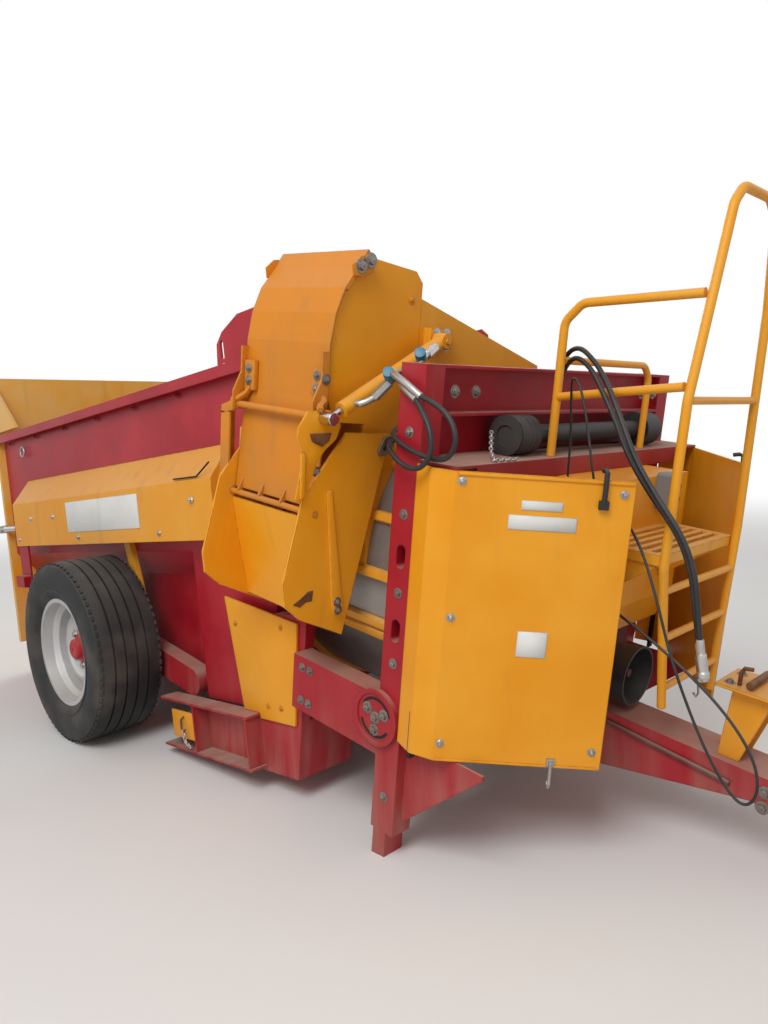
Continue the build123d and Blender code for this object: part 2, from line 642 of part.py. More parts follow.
# Hood over the fan, its roof rising towards the chute, with the chute cylinder's upper bracket
with BuildPart() as hood:
    with BuildSketch(section_x(CHUTE_BACK)):
        outline((300, 1760), (300, 1950), (CHUTE_INNER_Y + SEAT, 2190), (CHUTE_INNER_Y + SEAT, 1600), (0, 1760))
        with Locations((0, FAN_Z)):
            Circle(FAN_R + SEAT, mode=Mode.SUBTRACT)
    extrude(amount=CHUTE_FRONT - CHUTE_BACK)
    with BuildSketch(section_x(CHUTE_FRONT)):
        with Locations((CYL_Y + 30, CYL_Z + 10)):
            Rectangle(130, 80)
    extrude(amount=CYL_X - CYL_R - CHUTE_FRONT - 2)
    with BuildSketch(section_x(CHUTE_FRONT)):
        with Locations((CYL_Y, CYL_Z)):
            Circle(SHAFT_R)
    extrude(amount=CYL_X + CYL_R + 10 - CHUTE_FRONT)
keep("fan_hood", hood, FRAME_PITCH)

# Chute duct: side plates, inner and outer walls, closed top and the bar that the skin hangs from
with BuildPart() as chute:
    for x in (CHUTE_BACK, CHUTE_FRONT - SHEET):
        with BuildSketch(section_x(x)):
            outline(
                (-880, 2318), (-600, 2292), (CHUTE_INNER_Y, 2250), (CHUTE_INNER_Y, 1560), (-FAN_R - 1, FAN_Z),
                (-800, 1400), (-832, 1690), (-1000, 1700), (-1036, 1790), (-1034, 1990), (-1014, 2090),
                (-975, 2182), (-915, 2262))
            with Locations((0, FAN_Z)):
                Circle(FAN_R + SEAT, mode=Mode.SUBTRACT)
        extrude(amount=SHEET)
    with BuildSketch(section_x(CHUTE_BACK)):
        outline(*band([(-FAN_R - 1, FAN_Z), (-800, 1400), (-832, 1690)], SHEET))
        outline(*band([(CHUTE_INNER_Y, 1630), (CHUTE_INNER_Y, 2250), (-600, 2292), (-860, 2316)], SHEET))
    extrude(amount=CHUTE_FRONT - CHUTE_BACK)
    with BuildSketch(section_x(CHUTE_BACK - 30)):
        with Locations((CHUTE_HINGE_Y, CHUTE_HINGE_Z)):
            Circle(BAR_R)
    extrude(amount=CHUTE_FRONT - CHUTE_BACK + 60)
keep("chute_duct", chute, FRAME_PITCH)

# Skin of the chute, hinged on the top bar, with the brackets that carry the cross shaft and the flap's pin
SKIN = (
    (-885, 2340), (-930, 2272), (-990, 2195), (-1030, 2100), (-1050, 1990), (-1052, 1790), (-1088, 1380))
ear_step = CLEAR + SHEET
with BuildPart() as skin:
    with BuildSketch(section_x(CHUTE_BACK - ear_step)):
        outline(*band(SKIN, SKIN_THICK))
    extrude(amount=CHUTE_FRONT - CHUTE_BACK + 2 * ear_step)
    for x in (CHUTE_BACK - ear_step, CHUTE_FRONT + CLEAR):
        with BuildSketch(section_x(x)):
            outline((-882, 2338), (-930, 2270), (-988, 2193), (-975, 2182), (-915, 2262), (-860, 2285), (-858, 2312))
            with Locations((CHUTE_HINGE_Y, CHUTE_HINGE_Z)):
                Circle(BAR_R + RUNNING_GAP, mode=Mode.SUBTRACT)
            outline((-1046, 1960), (-1080, 1960), (-1080, 1860), (-1118, 1780), (-1118, 1705), (-1056, 1705))
        extrude(amount=SHEET)
    with BuildSketch(section_x(CHUTE_BACK - 60)):
        with Locations((SHAFT_Y, SHAFT_Z)):
            Circle(SHAFT_R)
    extrude(amount=CYL_X - CYL_R - SEAT - CHUTE_BACK + 60)
    with BuildSketch(section_x(CHUTE_BACK - 2 * ear_step - 3)):
        with Locations((FLAP_HINGE_Y, FLAP_HINGE_Z)):
            Circle(BAR_R)
    extrude(amount=CHUTE_FRONT - CHUTE_BACK + 4 * ear_step + 6)
    for i in range(4):
        with BuildSketch(section_x(CHUTE_BACK + 20 + i * (CHUTE_FRONT - CHUTE_BACK - 40 - SHEET) / 3)):
            outline((-1080, 1430), (-1110, 1376), (-1112, 1356), (-1090, 1356), (-1078, 1384))
        extrude(amount=SHEET)
keep("deflector_skin", skin, FRAME_PITCH)

# End flap between its two cheeks
CHEEK = (
    (-725, 1655), (-960, 1665), (-1030, 1585), (-1160, 1430), (-1238, 1110), (-1225, 1020), (-1150, 955), (-930, 850))
with BuildPart() as flap:
    with BuildSketch(section_x(CHUTE_BACK - 2 * ear_step)):
        outline(*band([(-1095, 1338), (-1001, 900)], -SKIN_THICK))
    extrude(amount=CHUTE_FRONT - CHUTE_BACK + 4 * ear_step)
    for x in (CHUTE_BACK - 2 * ear_step, CHUTE_FRONT + CLEAR + ear_step):
        with BuildSketch(section_x(x)):
            outline(*CHEEK)
            with Locations((FLAP_HINGE_Y, FLAP_HINGE_Z)):
                Circle(BAR_R + RUNNING_GAP, mode=Mode.SUBTRACT)
        extrude(amount=SHEET)
keep("end_flap", flap, FRAME_PITCH)

# Chute cylinder: its barrel swings on the hood's pin, and its rod ends beside the cross shaft
cyl_pin = Vector(CYL_X, CYL_Y, CYL_Z)
cyl_along = (Vector(CYL_X, SHAFT_Y, SHAFT_Z) - cyl_pin).normalized()
cyl_length = (Vector(CYL_X, SHAFT_Y, SHAFT_Z) - cyl_pin).length
CYL_END = 600.0
CYL_WALL = 6.0
CYL_GLAND = 40.0
PISTON = 40.0


def along_cylinder(distance):
    """A plane square to the chute cylinder at a distance from its fixed pin; it extrudes towards the rod's eye."""
    return Plane(origin=cyl_pin + cyl_along * distance, x_dir=(1, 0, 0), z_dir=cyl_along)


with BuildPart() as barrel:
    with BuildSketch(along_cylinder(20)):
        Circle(CYL_R)
    extrude(amount=CYL_END - 20)
    with BuildSketch(section_x(CYL_X - CYL_R)):
        with Locations((CYL_Y, CYL_Z)):
            Circle(32)
    extrude(amount=2 * CYL_R)
    with BuildSketch(section_x(CYL_X - CYL_R)):
        with Locations((CYL_Y, CYL_Z)):
            Circle(SHAFT_R + RUNNING_GAP)
    extrude(amount=2 * CYL_R, mode=Mode.SUBTRACT)
    with BuildSketch(along_cylinder(60)):
        Circle(CYL_R - CYL_WALL)
    extrude(amount=CYL_END - CYL_GLAND - 60, mode=Mode.SUBTRACT)
    with BuildSketch(along_cylinder(CYL_END - CYL_GLAND)):
        Circle(ROD_R + RUNNING_GAP)
    extrude(amount=CYL_GLAND, mode=Mode.SUBTRACT)
keep("chute_barrel", barrel, FRAME_PITCH)

ROD_BACK = 300.0
with BuildPart() as rod:
    with BuildSketch(along_cylinder(ROD_BACK)):
        Circle(CYL_R - CYL_WALL - RUNNING_GAP)
    extrude(amount=PISTON)
    with BuildSketch(along_cylinder(ROD_BACK)):
        Circle(ROD_R)
    extrude(amount=cyl_length - ROD_BACK)
    with BuildSketch(section_x(CYL_X - CYL_R)):
        with Locations((SHAFT_Y, SHAFT_Z)):
            Circle(24)
    extrude(amount=2 * CYL_R)
keep("chute_rod", rod, FRAME_PITCH)

# Tailgate: a ribbed sheet with cheeks above the rim, which folds down behind on its hinge pin
GATE_LOW_HALF = RECESS_HALF - 2 * SHEET
GATE_RISE = 72.0
GATE_POST = 50.0
gate_front = GATE_HINGE_X + GATE_THICK / 2
gate_low_z = GATE_HINGE_Z + GATE_RISE
with BuildPart() as gate:
    with BuildSketch(section_x(gate_front - SHEET)):
        outline(
            (-GATE_HALF, gate_low_z), (-GATE_HALF, GATE_TOP_Z), (GATE_HALF, GATE_TOP_Z), (GATE_HALF, gate_low_z),
            (GATE_LOW_HALF, gate_low_z), (GATE_LOW_HALF, GATE_HINGE_Z - 30), (-GATE_LOW_HALF, GATE_HINGE_Z - 30),
            (-GATE_LOW_HALF, gate_low_z))
    extrude(amount=SHEET)
    with BuildSketch(section_x(gate_front - GATE_THICK)):
        for y in (-GATE_HALF + GATE_POST / 2, -GATE_HALF / 2, 0, GATE_HALF / 2, GATE_HALF - GATE_POST / 2):
            with Locations((y, (gate_low_z + GATE_TOP_Z) / 2)):
                Rectangle(GATE_POST, GATE_TOP_Z - gate_low_z)
        for z in (GATE_TOP_Z - GATE_POST / 2, (gate_low_z + GATE_TOP_Z) / 2, gate_low_z + GATE_POST / 2):
            with Locations((0, z)):
                Rectangle(2 * GATE_HALF, GATE_POST)
    extrude(amount=GATE_THICK - SHEET)
    with BuildSketch(elevation_y(RECESS_HALF + 6)):
        with Locations((GATE_HINGE_X, GATE_HINGE_Z)):
            Circle(HINGE_PIN_R)
    extrude(amount=2 * (RECESS_HALF + 6))
    for side, s in SIDES:
        with BuildSketch(wall_start(s, GATE_HALF - SHEET, GATE_HALF)):
            outline((gate_front, RIM_Z + 25), (gate_front + 420, RIM_Z + 25), (gate_front, GATE_TOP_Z))
        extrude(amount=SHEET)
keep("tailgate", gate, BODY_PITCH)

# Tailgate cylinders: barrels swing on the tub's pins, and the rods end beside the tailgate
GATE_EYE = 30.0
gate_cyl_length = GATE_CYL_X - GATE_HINGE_X
for side, s in SIDES:
    line = Plane(origin=(GATE_CYL_X, s * GATE_CYL_Y, GATE_CYL_Z), x_dir=(0, 1, 0), z_dir=(-1, 0, 0))
    with BuildPart() as gate_barrel:
        with BuildSketch(line.offset(30)):
            Circle(GATE_BARREL_R)
        extrude(amount=GATE_BARREL_END - 30)
        with BuildSketch(wall_start(s, GATE_CYL_Y - GATE_EYE, GATE_CYL_Y + GATE_EYE)):
            with Locations((GATE_CYL_X, GATE_CYL_Z)):
                Circle(40)
        extrude(amount=2 * GATE_EYE)
        with BuildSketch(wall_start(s, GATE_CYL_Y - GATE_EYE, GATE_CYL_Y + GATE_EYE)):
            with Locations((GATE_CYL_X, GATE_CYL_Z)):
                Circle(GATE_PIN_R + RUNNING_GAP)
        extrude(amount=2 * GATE_EYE, mode=Mode.SUBTRACT)
        with BuildSketch(line.offset(80)):
            Circle(GATE_BARREL_R - CYL_WALL)
        extrude(amount=GATE_BARREL_END - CYL_GLAND - 80, mode=Mode.SUBTRACT)
        with BuildSketch(line.offset(GATE_BARREL_END - CYL_GLAND)):
            Circle(GATE_ROD_R + RUNNING_GAP)
        extrude(amount=CYL_GLAND, mode=Mode.SUBTRACT)
    keep("gate_barrel_" + side, gate_barrel, BODY_PITCH)
    with BuildPart() as gate_rod:
        with BuildSketch(line.offset(100)):
            Circle(GATE_BARREL_R - CYL_WALL - RUNNING_GAP)
        extrude(amount=PISTON)
        with BuildSketch(line.offset(100)):
            Circle(GATE_ROD_R)
        extrude(amount=gate_cyl_length - 100)
        with BuildSketch(wall_start(s, GATE_HALF + SEAT, GATE_CYL_Y + GATE_EYE - 5)):
            with Locations((GATE_HINGE_X, GATE_CYL_Z)):
                Circle(GATE_EYE)
        extrude(amount=GATE_CYL_Y + GATE_EYE - 5 - GATE_HALF - SEAT)
    keep("gate_rod_" + side, gate_rod, BODY_PITCH)

# Front guards: tall folded covers that run from the posts in towards the drawbar
GUARD_FOOT_Z = 530.0
for side, s in SIDES:
    guard_y = POST_OUT + SEAT + SHEET
    plan = [(POST_X + SEAT, s * guard_y), (210, s * 962), (300, s * guard_y), (733, s * 500)]
    with BuildPart() as front_guard:
        with BuildSketch(Plane.XY.offset(GUARD_FOOT_Z)):
            outline(*band(plan, -s * SHEET))
        extrude(amount=DECK_Z - SEAT - GUARD_FOOT_Z)
    keep("front_guard_" + side, front_guard, FRAME_PITCH)

# Deck with its folded front edge
with BuildPart() as deck:
    with BuildSketch(Plane.XY.offset(DECK_Z)):
        with Locations((BEAM_BACK + SHEET + SEAT, 0)):
            Rectangle(DECK_FRONT - BEAM_BACK - SHEET - SEAT, 2 * beam_half, align=(Align.MIN, Align.CENTER))
        with Locations((POST_X + SEAT, 0)):
            Rectangle(DECK_FRONT - POST_X - SEAT, 2 * (POST_OUT + SHEET), align=(Align.MIN, Align.CENTER))
    extrude(amount=SHEET)
    with BuildSketch(Plane.XY.offset(DECK_Z - 60)):
        with Locations((DECK_FRONT - SHEET, 0)):
            Rectangle(SHEET, 2 * beam_half, align=(Align.MIN, Align.CENTER))
    extrude(amount=60)
keep("deck", deck, FRAME_PITCH)

# Gearbox with its splined shaft end, the cone that guards it, and the cover over the belts above
with BuildPart() as gearbox:
    with BuildSketch(elevation_y(180)):
        outline(
            (POST_X + SEAT, drawbar_top(POST_X) + SEAT), (GEARBOX_FRONT, drawbar_top(GEARBOX_FRONT) + SEAT),
            (GEARBOX_FRONT, GEARBOX_TOP_Z), (POST_X + SEAT, GEARBOX_TOP_Z))
    extrude(amount=360)
    with BuildSketch(section_x(GEARBOX_FRONT)):
        with Locations((0, PTO_Z)):
            Circle(60)
    extrude(amount=25)
    with BuildSketch(section_x(GEARBOX_FRONT)):
        with Locations((0, PTO_Z)):
            Circle(PTO_R)
    extrude(amount=PTO_END - GEARBOX_FRONT)
keep("gearbox", gearbox, FRAME_PITCH)

with BuildPart() as pto_guard:
    with BuildSketch(elevation_y(0)):
        outline(
            (GEARBOX_FRONT + SEAT, PTO_Z + 95), (600, PTO_Z + 120), (600, PTO_Z + 128),
            (GEARBOX_FRONT + SEAT, PTO_Z + 103))
    revolve(axis=Axis((0, 0, PTO_Z), (1, 0, 0)))
keep("pto_guard", pto_guard, FRAME_PITCH)

with BuildPart() as cover:
    with BuildSketch(elevation_y(430)):
        outline(
            (POST_X + SEAT, GEARBOX_TOP_Z + SEAT), (GEARBOX_FRONT, GEARBOX_TOP_Z + SEAT), (COVER_FRONT, 1000),
            (COVER_FRONT, DECK_Z - 60 - SEAT), (POST_X + SEAT, DECK_Z - 60 - SEAT))
    extrude(amount=730)
keep("transmission_cover", cover, FRAME_PITCH)

# Drive shaft stored across the deck, with a boot at each end
with BuildPart() as stored_shaft:
    shaft_line = Plane(origin=(STORED_X, -500, DECK_Z + SHEET + SEAT + BOOT_R), x_dir=(1, 0, 0), z_dir=(0, 1, 0))
    with BuildSketch(shaft_line):
        Circle(38)
    extrude(amount=1130)
    for start, end in ((0, 130), (1000, 1130)):
        with BuildSketch(shaft_line.offset(start)):
            Circle(BOOT_R)
        extrude(amount=end - start)
keep("stored_drive_shaft", stored_shaft, FRAME_PITCH)

# Platform before the transmission cover, with slots through its tread and a bracket at each end
SLOTS = 5
with BuildPart() as platform:
    with BuildSketch(Plane.XY.offset(PLATFORM_Z - PLATFORM_THICK)):
        outline(
            (COVER_FRONT + SEAT, PLATFORM_RIGHT), (PLATFORM_FRONT, PLATFORM_RIGHT), (PLATFORM_FRONT, PLATFORM_LEFT),
            (COVER_FRONT + SEAT, PLATFORM_LEFT))
        slot_step = (PLATFORM_FRONT - COVER_FRONT) / (SLOTS + 1)
        for i in range(SLOTS):
            with Locations((COVER_FRONT + (i + 1) * slot_step, (PLATFORM_RIGHT + PLATFORM_LEFT) / 2)):
                Rectangle(slot_step / 2, PLATFORM_LEFT - PLATFORM_RIGHT - 80, mode=Mode.SUBTRACT)
    extrude(amount=PLATFORM_THICK)
    for y in (PLATFORM_RIGHT + 10 + SHEET, PLATFORM_LEFT - 10):
        with BuildSketch(elevation_y(y)):
            outline(
                (COVER_FRONT + SEAT, PLATFORM_Z - PLATFORM_THICK / 2),
                (PLATFORM_FRONT - 20, PLATFORM_Z - PLATFORM_THICK / 2),
                (PLATFORM_FRONT - 20, PLATFORM_Z - PLATFORM_THICK - 10), (COVER_FRONT + SEAT, 1090))
        extrude(amount=SHEET)
keep("platform", platform, FRAME_PITCH)

# Ladder whose stiles rise into a hoop, and the rails round the deck
ladder_x = PLATFORM_FRONT + TUBE_R + SEAT
STILES = (
    (-200, 720), (-350, 1290), (-350, 1880), (-210, 2540), (-150, 2600), (90, 2600), (170, 2540), (230, 2220),
    (280, 1370), (250, 670))
RUNGS = ((1880, -350, 250), (1200, -326, 274), (1010, -276, 265), (800, -221, 256))
RAIL_X = 260.0
RAIL_RIGHT = -310.0
RAIL_LEFT = 420.0
RAIL_FOOT_Z = DECK_Z + SHEET + SEAT
RAIL_END = ladder_x - TUBE_R - 8 * SEAT
RAILS = (
    ((RAIL_X, RAIL_RIGHT, RAIL_FOOT_Z), (RAIL_X, RAIL_RIGHT, 2130), (330, RAIL_RIGHT, 2200), (RAIL_END, -285, 2240)),
    ((RAIL_X + 3, RAIL_RIGHT, 1845), (RAIL_END, -345, 1925)),
    ((RAIL_X, RAIL_RIGHT + 3, 1985), (RAIL_X, 370, 1985), (RAIL_X, RAIL_LEFT, 1930), (RAIL_X, RAIL_LEFT, RAIL_FOOT_Z)))
with BuildPart() as ladder:
    add(tube_run([(ladder_x, y, z) for y, z in STILES], TUBE_R).part)
    for z, right, left in RUNGS:
        add(tube_run([(ladder_x, right, z), (ladder_x, left, z)], TUBE_R - 3).part)
keep("ladder", ladder, FRAME_PITCH)

with BuildPart() as hand_rail:
    for i, route in enumerate(RAILS):
        add(tube_run(list(route), TUBE_R - i).part)
keep("hand_rail", hand_rail, FRAME_PITCH)

# Control box on the transmission cover
with BuildPart() as control_box:
    with BuildSketch(section_x(COVER_FRONT + SEAT)):
        with Locations((180, 1480)):
            RectangleRounded(100, 150, 12)
    extrude(amount=60)
keep("control_box", control_box, FRAME_PITCH)
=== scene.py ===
"""Looks of the straw blower: paint, rust and dust, ribbed tyres, bolts, hoses and small fittings.

Every size is in millimetres. A piece is drawn level, x forward of the tub's pivot, y to the left and z above
the ground, and what has a twin is drawn with y outboard. Its Pitch turns it into the metres of the shared
frame.
"""

import logging
import math
from dataclasses import dataclass, field
from enum import Enum
from typing import ClassVar, Iterable, Sequence

import bmesh
import bpy
from mathutils import Matrix, Vector

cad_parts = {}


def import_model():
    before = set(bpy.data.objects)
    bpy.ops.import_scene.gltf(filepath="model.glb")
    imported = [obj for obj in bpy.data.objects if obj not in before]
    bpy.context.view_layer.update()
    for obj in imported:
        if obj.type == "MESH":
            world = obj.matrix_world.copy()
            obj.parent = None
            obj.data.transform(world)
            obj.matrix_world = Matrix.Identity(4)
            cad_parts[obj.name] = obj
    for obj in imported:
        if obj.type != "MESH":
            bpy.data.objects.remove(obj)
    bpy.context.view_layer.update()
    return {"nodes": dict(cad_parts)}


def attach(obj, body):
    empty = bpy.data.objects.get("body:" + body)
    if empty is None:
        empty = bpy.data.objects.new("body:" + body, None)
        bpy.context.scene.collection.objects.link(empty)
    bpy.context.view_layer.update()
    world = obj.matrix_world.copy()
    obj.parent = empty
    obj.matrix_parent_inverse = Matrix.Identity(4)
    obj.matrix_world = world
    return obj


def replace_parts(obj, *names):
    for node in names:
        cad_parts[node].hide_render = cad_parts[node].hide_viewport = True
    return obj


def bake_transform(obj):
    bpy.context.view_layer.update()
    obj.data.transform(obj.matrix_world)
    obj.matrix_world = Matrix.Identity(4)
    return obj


LOG = logging.getLogger("straw_blower")
METRE = 1000.0
PIVOT_Z = 580.0
CENTRE_SHIFT = 1229.0
SIDES = (("right", -1.0), ("left", 1.0))

Point = tuple[float, float, float]
Flat = tuple[float, float]
Seed = tuple[Vector, Vector]
Inputs = dict[str | int, object]
Socket = bpy.types.NodeSocket
Object = bpy.types.Object

FORWARD = (1.0, 0.0, 0.0)
OUTBOARD = (0.0, 1.0, 0.0)
RIGHT = (0.0, -1.0, 0.0)
UP = (0.0, 0.0, 1.0)


def pair(name: str) -> tuple[str, ...]:
    """Names of a piece's two copies."""
    return tuple(f"{name}_{side}" for side, _ in SIDES)


def turns(count: int) -> list[float]:
    """Angles of even steps round a circle."""
    return [math.tau * step / count for step in range(count)]


def circle(radius: float, first: float, second: float, angles: Iterable[float]) -> list[Flat]:
    """Points of a circle about a centre in some plane, at the angles given."""
    return [(first + radius * math.cos(t), second + radius * math.sin(t)) for t in angles]


def band(inner: float, outer: float, start: float, end: float) -> list[Flat]:
    """Profile of a ring, from its radii and where it starts and ends along its axis."""
    return [(inner, start), (outer, start), (outer, end), (inner, end)]


def mirrored(profile: Sequence[Flat]) -> list[Flat]:
    """The same profile on the other side, backwards."""
    return [(radius, -along) for radius, along in reversed(profile)]


class Plane(Enum):
    """The plane that an outline is drawn in: its two axes, then the axis that it is raised along."""

    ELEVATION = (0, 2, 1)
    SECTION = (1, 2, 0)
    PLAN = (0, 1, 2)

    def spot(self, first: float, second: float, level: float) -> Point:
        """Point at two places in the plane, raised to a level."""
        places = dict(zip(self.value, (first, second, level)))
        return places[0], places[1], places[2]


class Slot(Enum):
    """The record's material slots."""

    RED = "red_paint"
    YELLOW = "yellow_paint"
    RUBBER = "tyre_rubber"
    RIM = "rim_silver"
    CHROME = "chrome_rod"
    BLACK = "black_plastic"
    GREY = "grey_plastic"
    LAMP = "lamp_plastic"
    IRON = "gearbox_iron"


@dataclass(frozen=True)
class Pitch:
    """A level drawing's slope about the pivot bolts, in degrees, nose down positive."""

    degrees: float

    def place(self, x: float, y: float, z: float) -> Vector:
        """Move a point of the level drawing into the shared frame.

        Args:
            x: Forward of the pivot.
            y: To the left of the centre plane.
            z: Above the ground line.

        Returns:
            The point in metres.
        """
        angle = math.radians(self.degrees)
        rise = z - PIVOT_Z
        along = x * math.cos(angle) + rise * math.sin(angle) + CENTRE_SHIFT
        up = rise * math.cos(angle) - x * math.sin(angle) + PIVOT_Z
        return Vector((along, y, up)) / METRE

    def turn(self, direction: Point) -> Vector:
        """Turn a direction of the level drawing into the shared frame."""
        return (self.place(*direction) - self.place(0, 0, 0)).normalized()


FRONT = Pitch(8.8)
TUB = Pitch(-4.7)
LEVEL = Pitch(0.0)


class Graph:
    """A node tree in the making: a finish, the sky or Geometry Nodes."""

    def __init__(self, tree: bpy.types.NodeTree) -> None:
        """Keep the tree."""
        self.tree = tree

    def node(self, kind: str, inputs: Inputs | None = None, **settings: object) -> bpy.types.Node:
        """Add one node.

        Args:
            kind: Blender's name for its type.
            inputs: Socket name or number to a value, a colour, a socket or a Value.
            **settings: The node's own properties, which are set first.

        Returns:
            The node.
        """
        made = self.tree.nodes.new(kind)
        for name, setting in settings.items():
            setattr(made, name, setting)
        for name, given in (inputs or {}).items():
            self.feed(made.inputs[name], given)
        return made

    def feed(self, socket: Socket, given: object) -> None:
        """Link or set one input socket.

        Args:
            socket: The input.
            given: A value, a colour with no alpha, a socket or a Value.
        """
        source = given.socket if isinstance(given, Value) else given
        if isinstance(source, Socket):
            self.tree.links.new(source, socket)
        elif socket.type == "RGBA":
            socket.default_value = (*source, 1.0)
        else:
            socket.default_value = source


class Value:
    """A number that varies over a surface or a tree, with Python's operators adding its Math nodes."""

    def __init__(self, graph: Graph, socket: Socket) -> None:
        """Keep the graph that the socket belongs to."""
        self.graph = graph
        self.socket = socket

    def maths(self, operation: str, first: object, second: object, clamp: bool = False) -> "Value":
        """Add one Math node, its result held between 0 and 1 where clamp is set."""
        node = self.graph.node("ShaderNodeMath", {0: first, 1: second}, operation=operation, use_clamp=clamp)
        return Value(self.graph, node.outputs[0])

    def __add__(self, other: object) -> "Value":
        """Sum."""
        return self.maths("ADD", self, other)

    def __sub__(self, other: object) -> "Value":
        """Difference."""
        return self.maths("SUBTRACT", self, other)

    def __rsub__(self, other: object) -> "Value":
        """Reflected difference."""
        return self.maths("SUBTRACT", other, self)

    def __mul__(self, other: object) -> "Value":
        """Product."""
        return self.maths("MULTIPLY", self, other)

    __radd__ = __add__
    __rmul__ = __mul__

    def clamp(self) -> "Value":
        """Hold between 0 and 1."""
        return self.maths("ADD", self, 0.0, clamp=True)

    def ramp(self, start: float, end: float) -> "Value":
        """Rise smoothly from 0 to 1, held outside that stretch.

        Args:
            start: Where it is 0.
            end: Where it is 1.

        Returns:
            The rise.
        """
        inputs = {"Value": self, "From Min": start, "From Max": end}
        node = self.graph.node("ShaderNodeMapRange", inputs, clamp=True, interpolation_type="SMOOTHSTEP")
        return Value(self.graph, node.outputs["Result"])


EVEN = (1.0, 1.0, 1.0)


class Shade(Graph):
    """The node graph of one finish."""

    def __init__(self, name: str) -> None:
        """Start an empty material with its shader and output.

        Args:
            name: The material's name.
        """
        self.material = bpy.data.materials.new(name)
        self.material.use_nodes = True
        super().__init__(self.material.node_tree)
        self.tree.nodes.clear()
        self.shader = self.node("ShaderNodeBsdfPrincipled")
        self.output = self.node("ShaderNodeOutputMaterial", {"Surface": self.shader.outputs[0]})
        self.place = self.node("ShaderNodeTexCoord").outputs["Object"]
        self.normal = self.node("ShaderNodeNewGeometry").outputs["Normal"]

    def noise(self, scale: float, detail: float = 4.0, stretch: Point = EVEN, offset: float = 0.0) -> Value:
        """Add a noise over object coordinates.

        Args:
            scale: Features per metre.
            detail: Octaves.
            stretch: Scale along each axis.
            offset: Shift, so that two noises differ.

        Returns:
            The noise, about 0.5 on average.
        """
        moved = {"Vector": self.place, "Location": (offset,) * 3, "Scale": stretch}
        vector = self.node("ShaderNodeMapping", moved).outputs[0]
        inputs = {"Vector": vector, "Scale": scale, "Detail": detail}
        return Value(self, self.node("ShaderNodeTexNoise", inputs).outputs[0])

    def mix(self, factor: Value, low: object, high: object) -> Socket:
        """Mix two colours."""
        return self.node("ShaderNodeMix", {0: factor, 6: low, 7: high}, data_type="RGBA").outputs[2]

    def dot(self, first: Socket, second: object) -> Value:
        """Dot product of two vectors."""
        made = self.node("ShaderNodeVectorMath", {0: first, 1: second}, operation="DOT_PRODUCT")
        return Value(self, made.outputs["Value"])

    def facing(self, direction: Point) -> Value:
        """Cosine between the surface and a direction."""
        return self.dot(self.normal, direction)

    def along(self, direction: Point) -> Value:
        """Distance along a direction from the frame's origin, in metres."""
        return self.dot(self.place, direction)

    def edges(self, reach: float) -> tuple[Value, Socket]:
        """Wear within reach of a sheet's edges, 0 on a flat, and the normal rounded over them."""
        rounded = self.node("ShaderNodeBevel", {"Radius": reach}, samples=4).outputs[0]
        return 1.0 - self.dot(rounded, self.normal), rounded

    def surface(
            self, colour: Socket, rough: Value, bump: Inputs, others: Inputs) -> bpy.types.Material:
        """Feed the shader.

        Args:
            colour: Its base colour.
            rough: Its roughness.
            bump: What the Bump node's sockets get.
            others: What its further sockets get.

        Returns:
            The material.
        """
        bumped = self.node("ShaderNodeBump", bump).outputs[0]
        for name, given in {"Base Color": colour, "Roughness": rough, "Normal": bumped, **others}.items():
            self.feed(self.shader.inputs[name], given)
        return self.material


RUST_DARK = (0.045, 0.017, 0.009)
RUST_LIGHT = (0.19, 0.068, 0.024)
DUST = (0.42, 0.34, 0.26)
STONE_DUST = (0.22, 0.19, 0.16)
MUD = (0.16, 0.12, 0.085)
RUN_DOWN = (1.0, 1.0, 0.09)
EDGE_REACH = 0.007


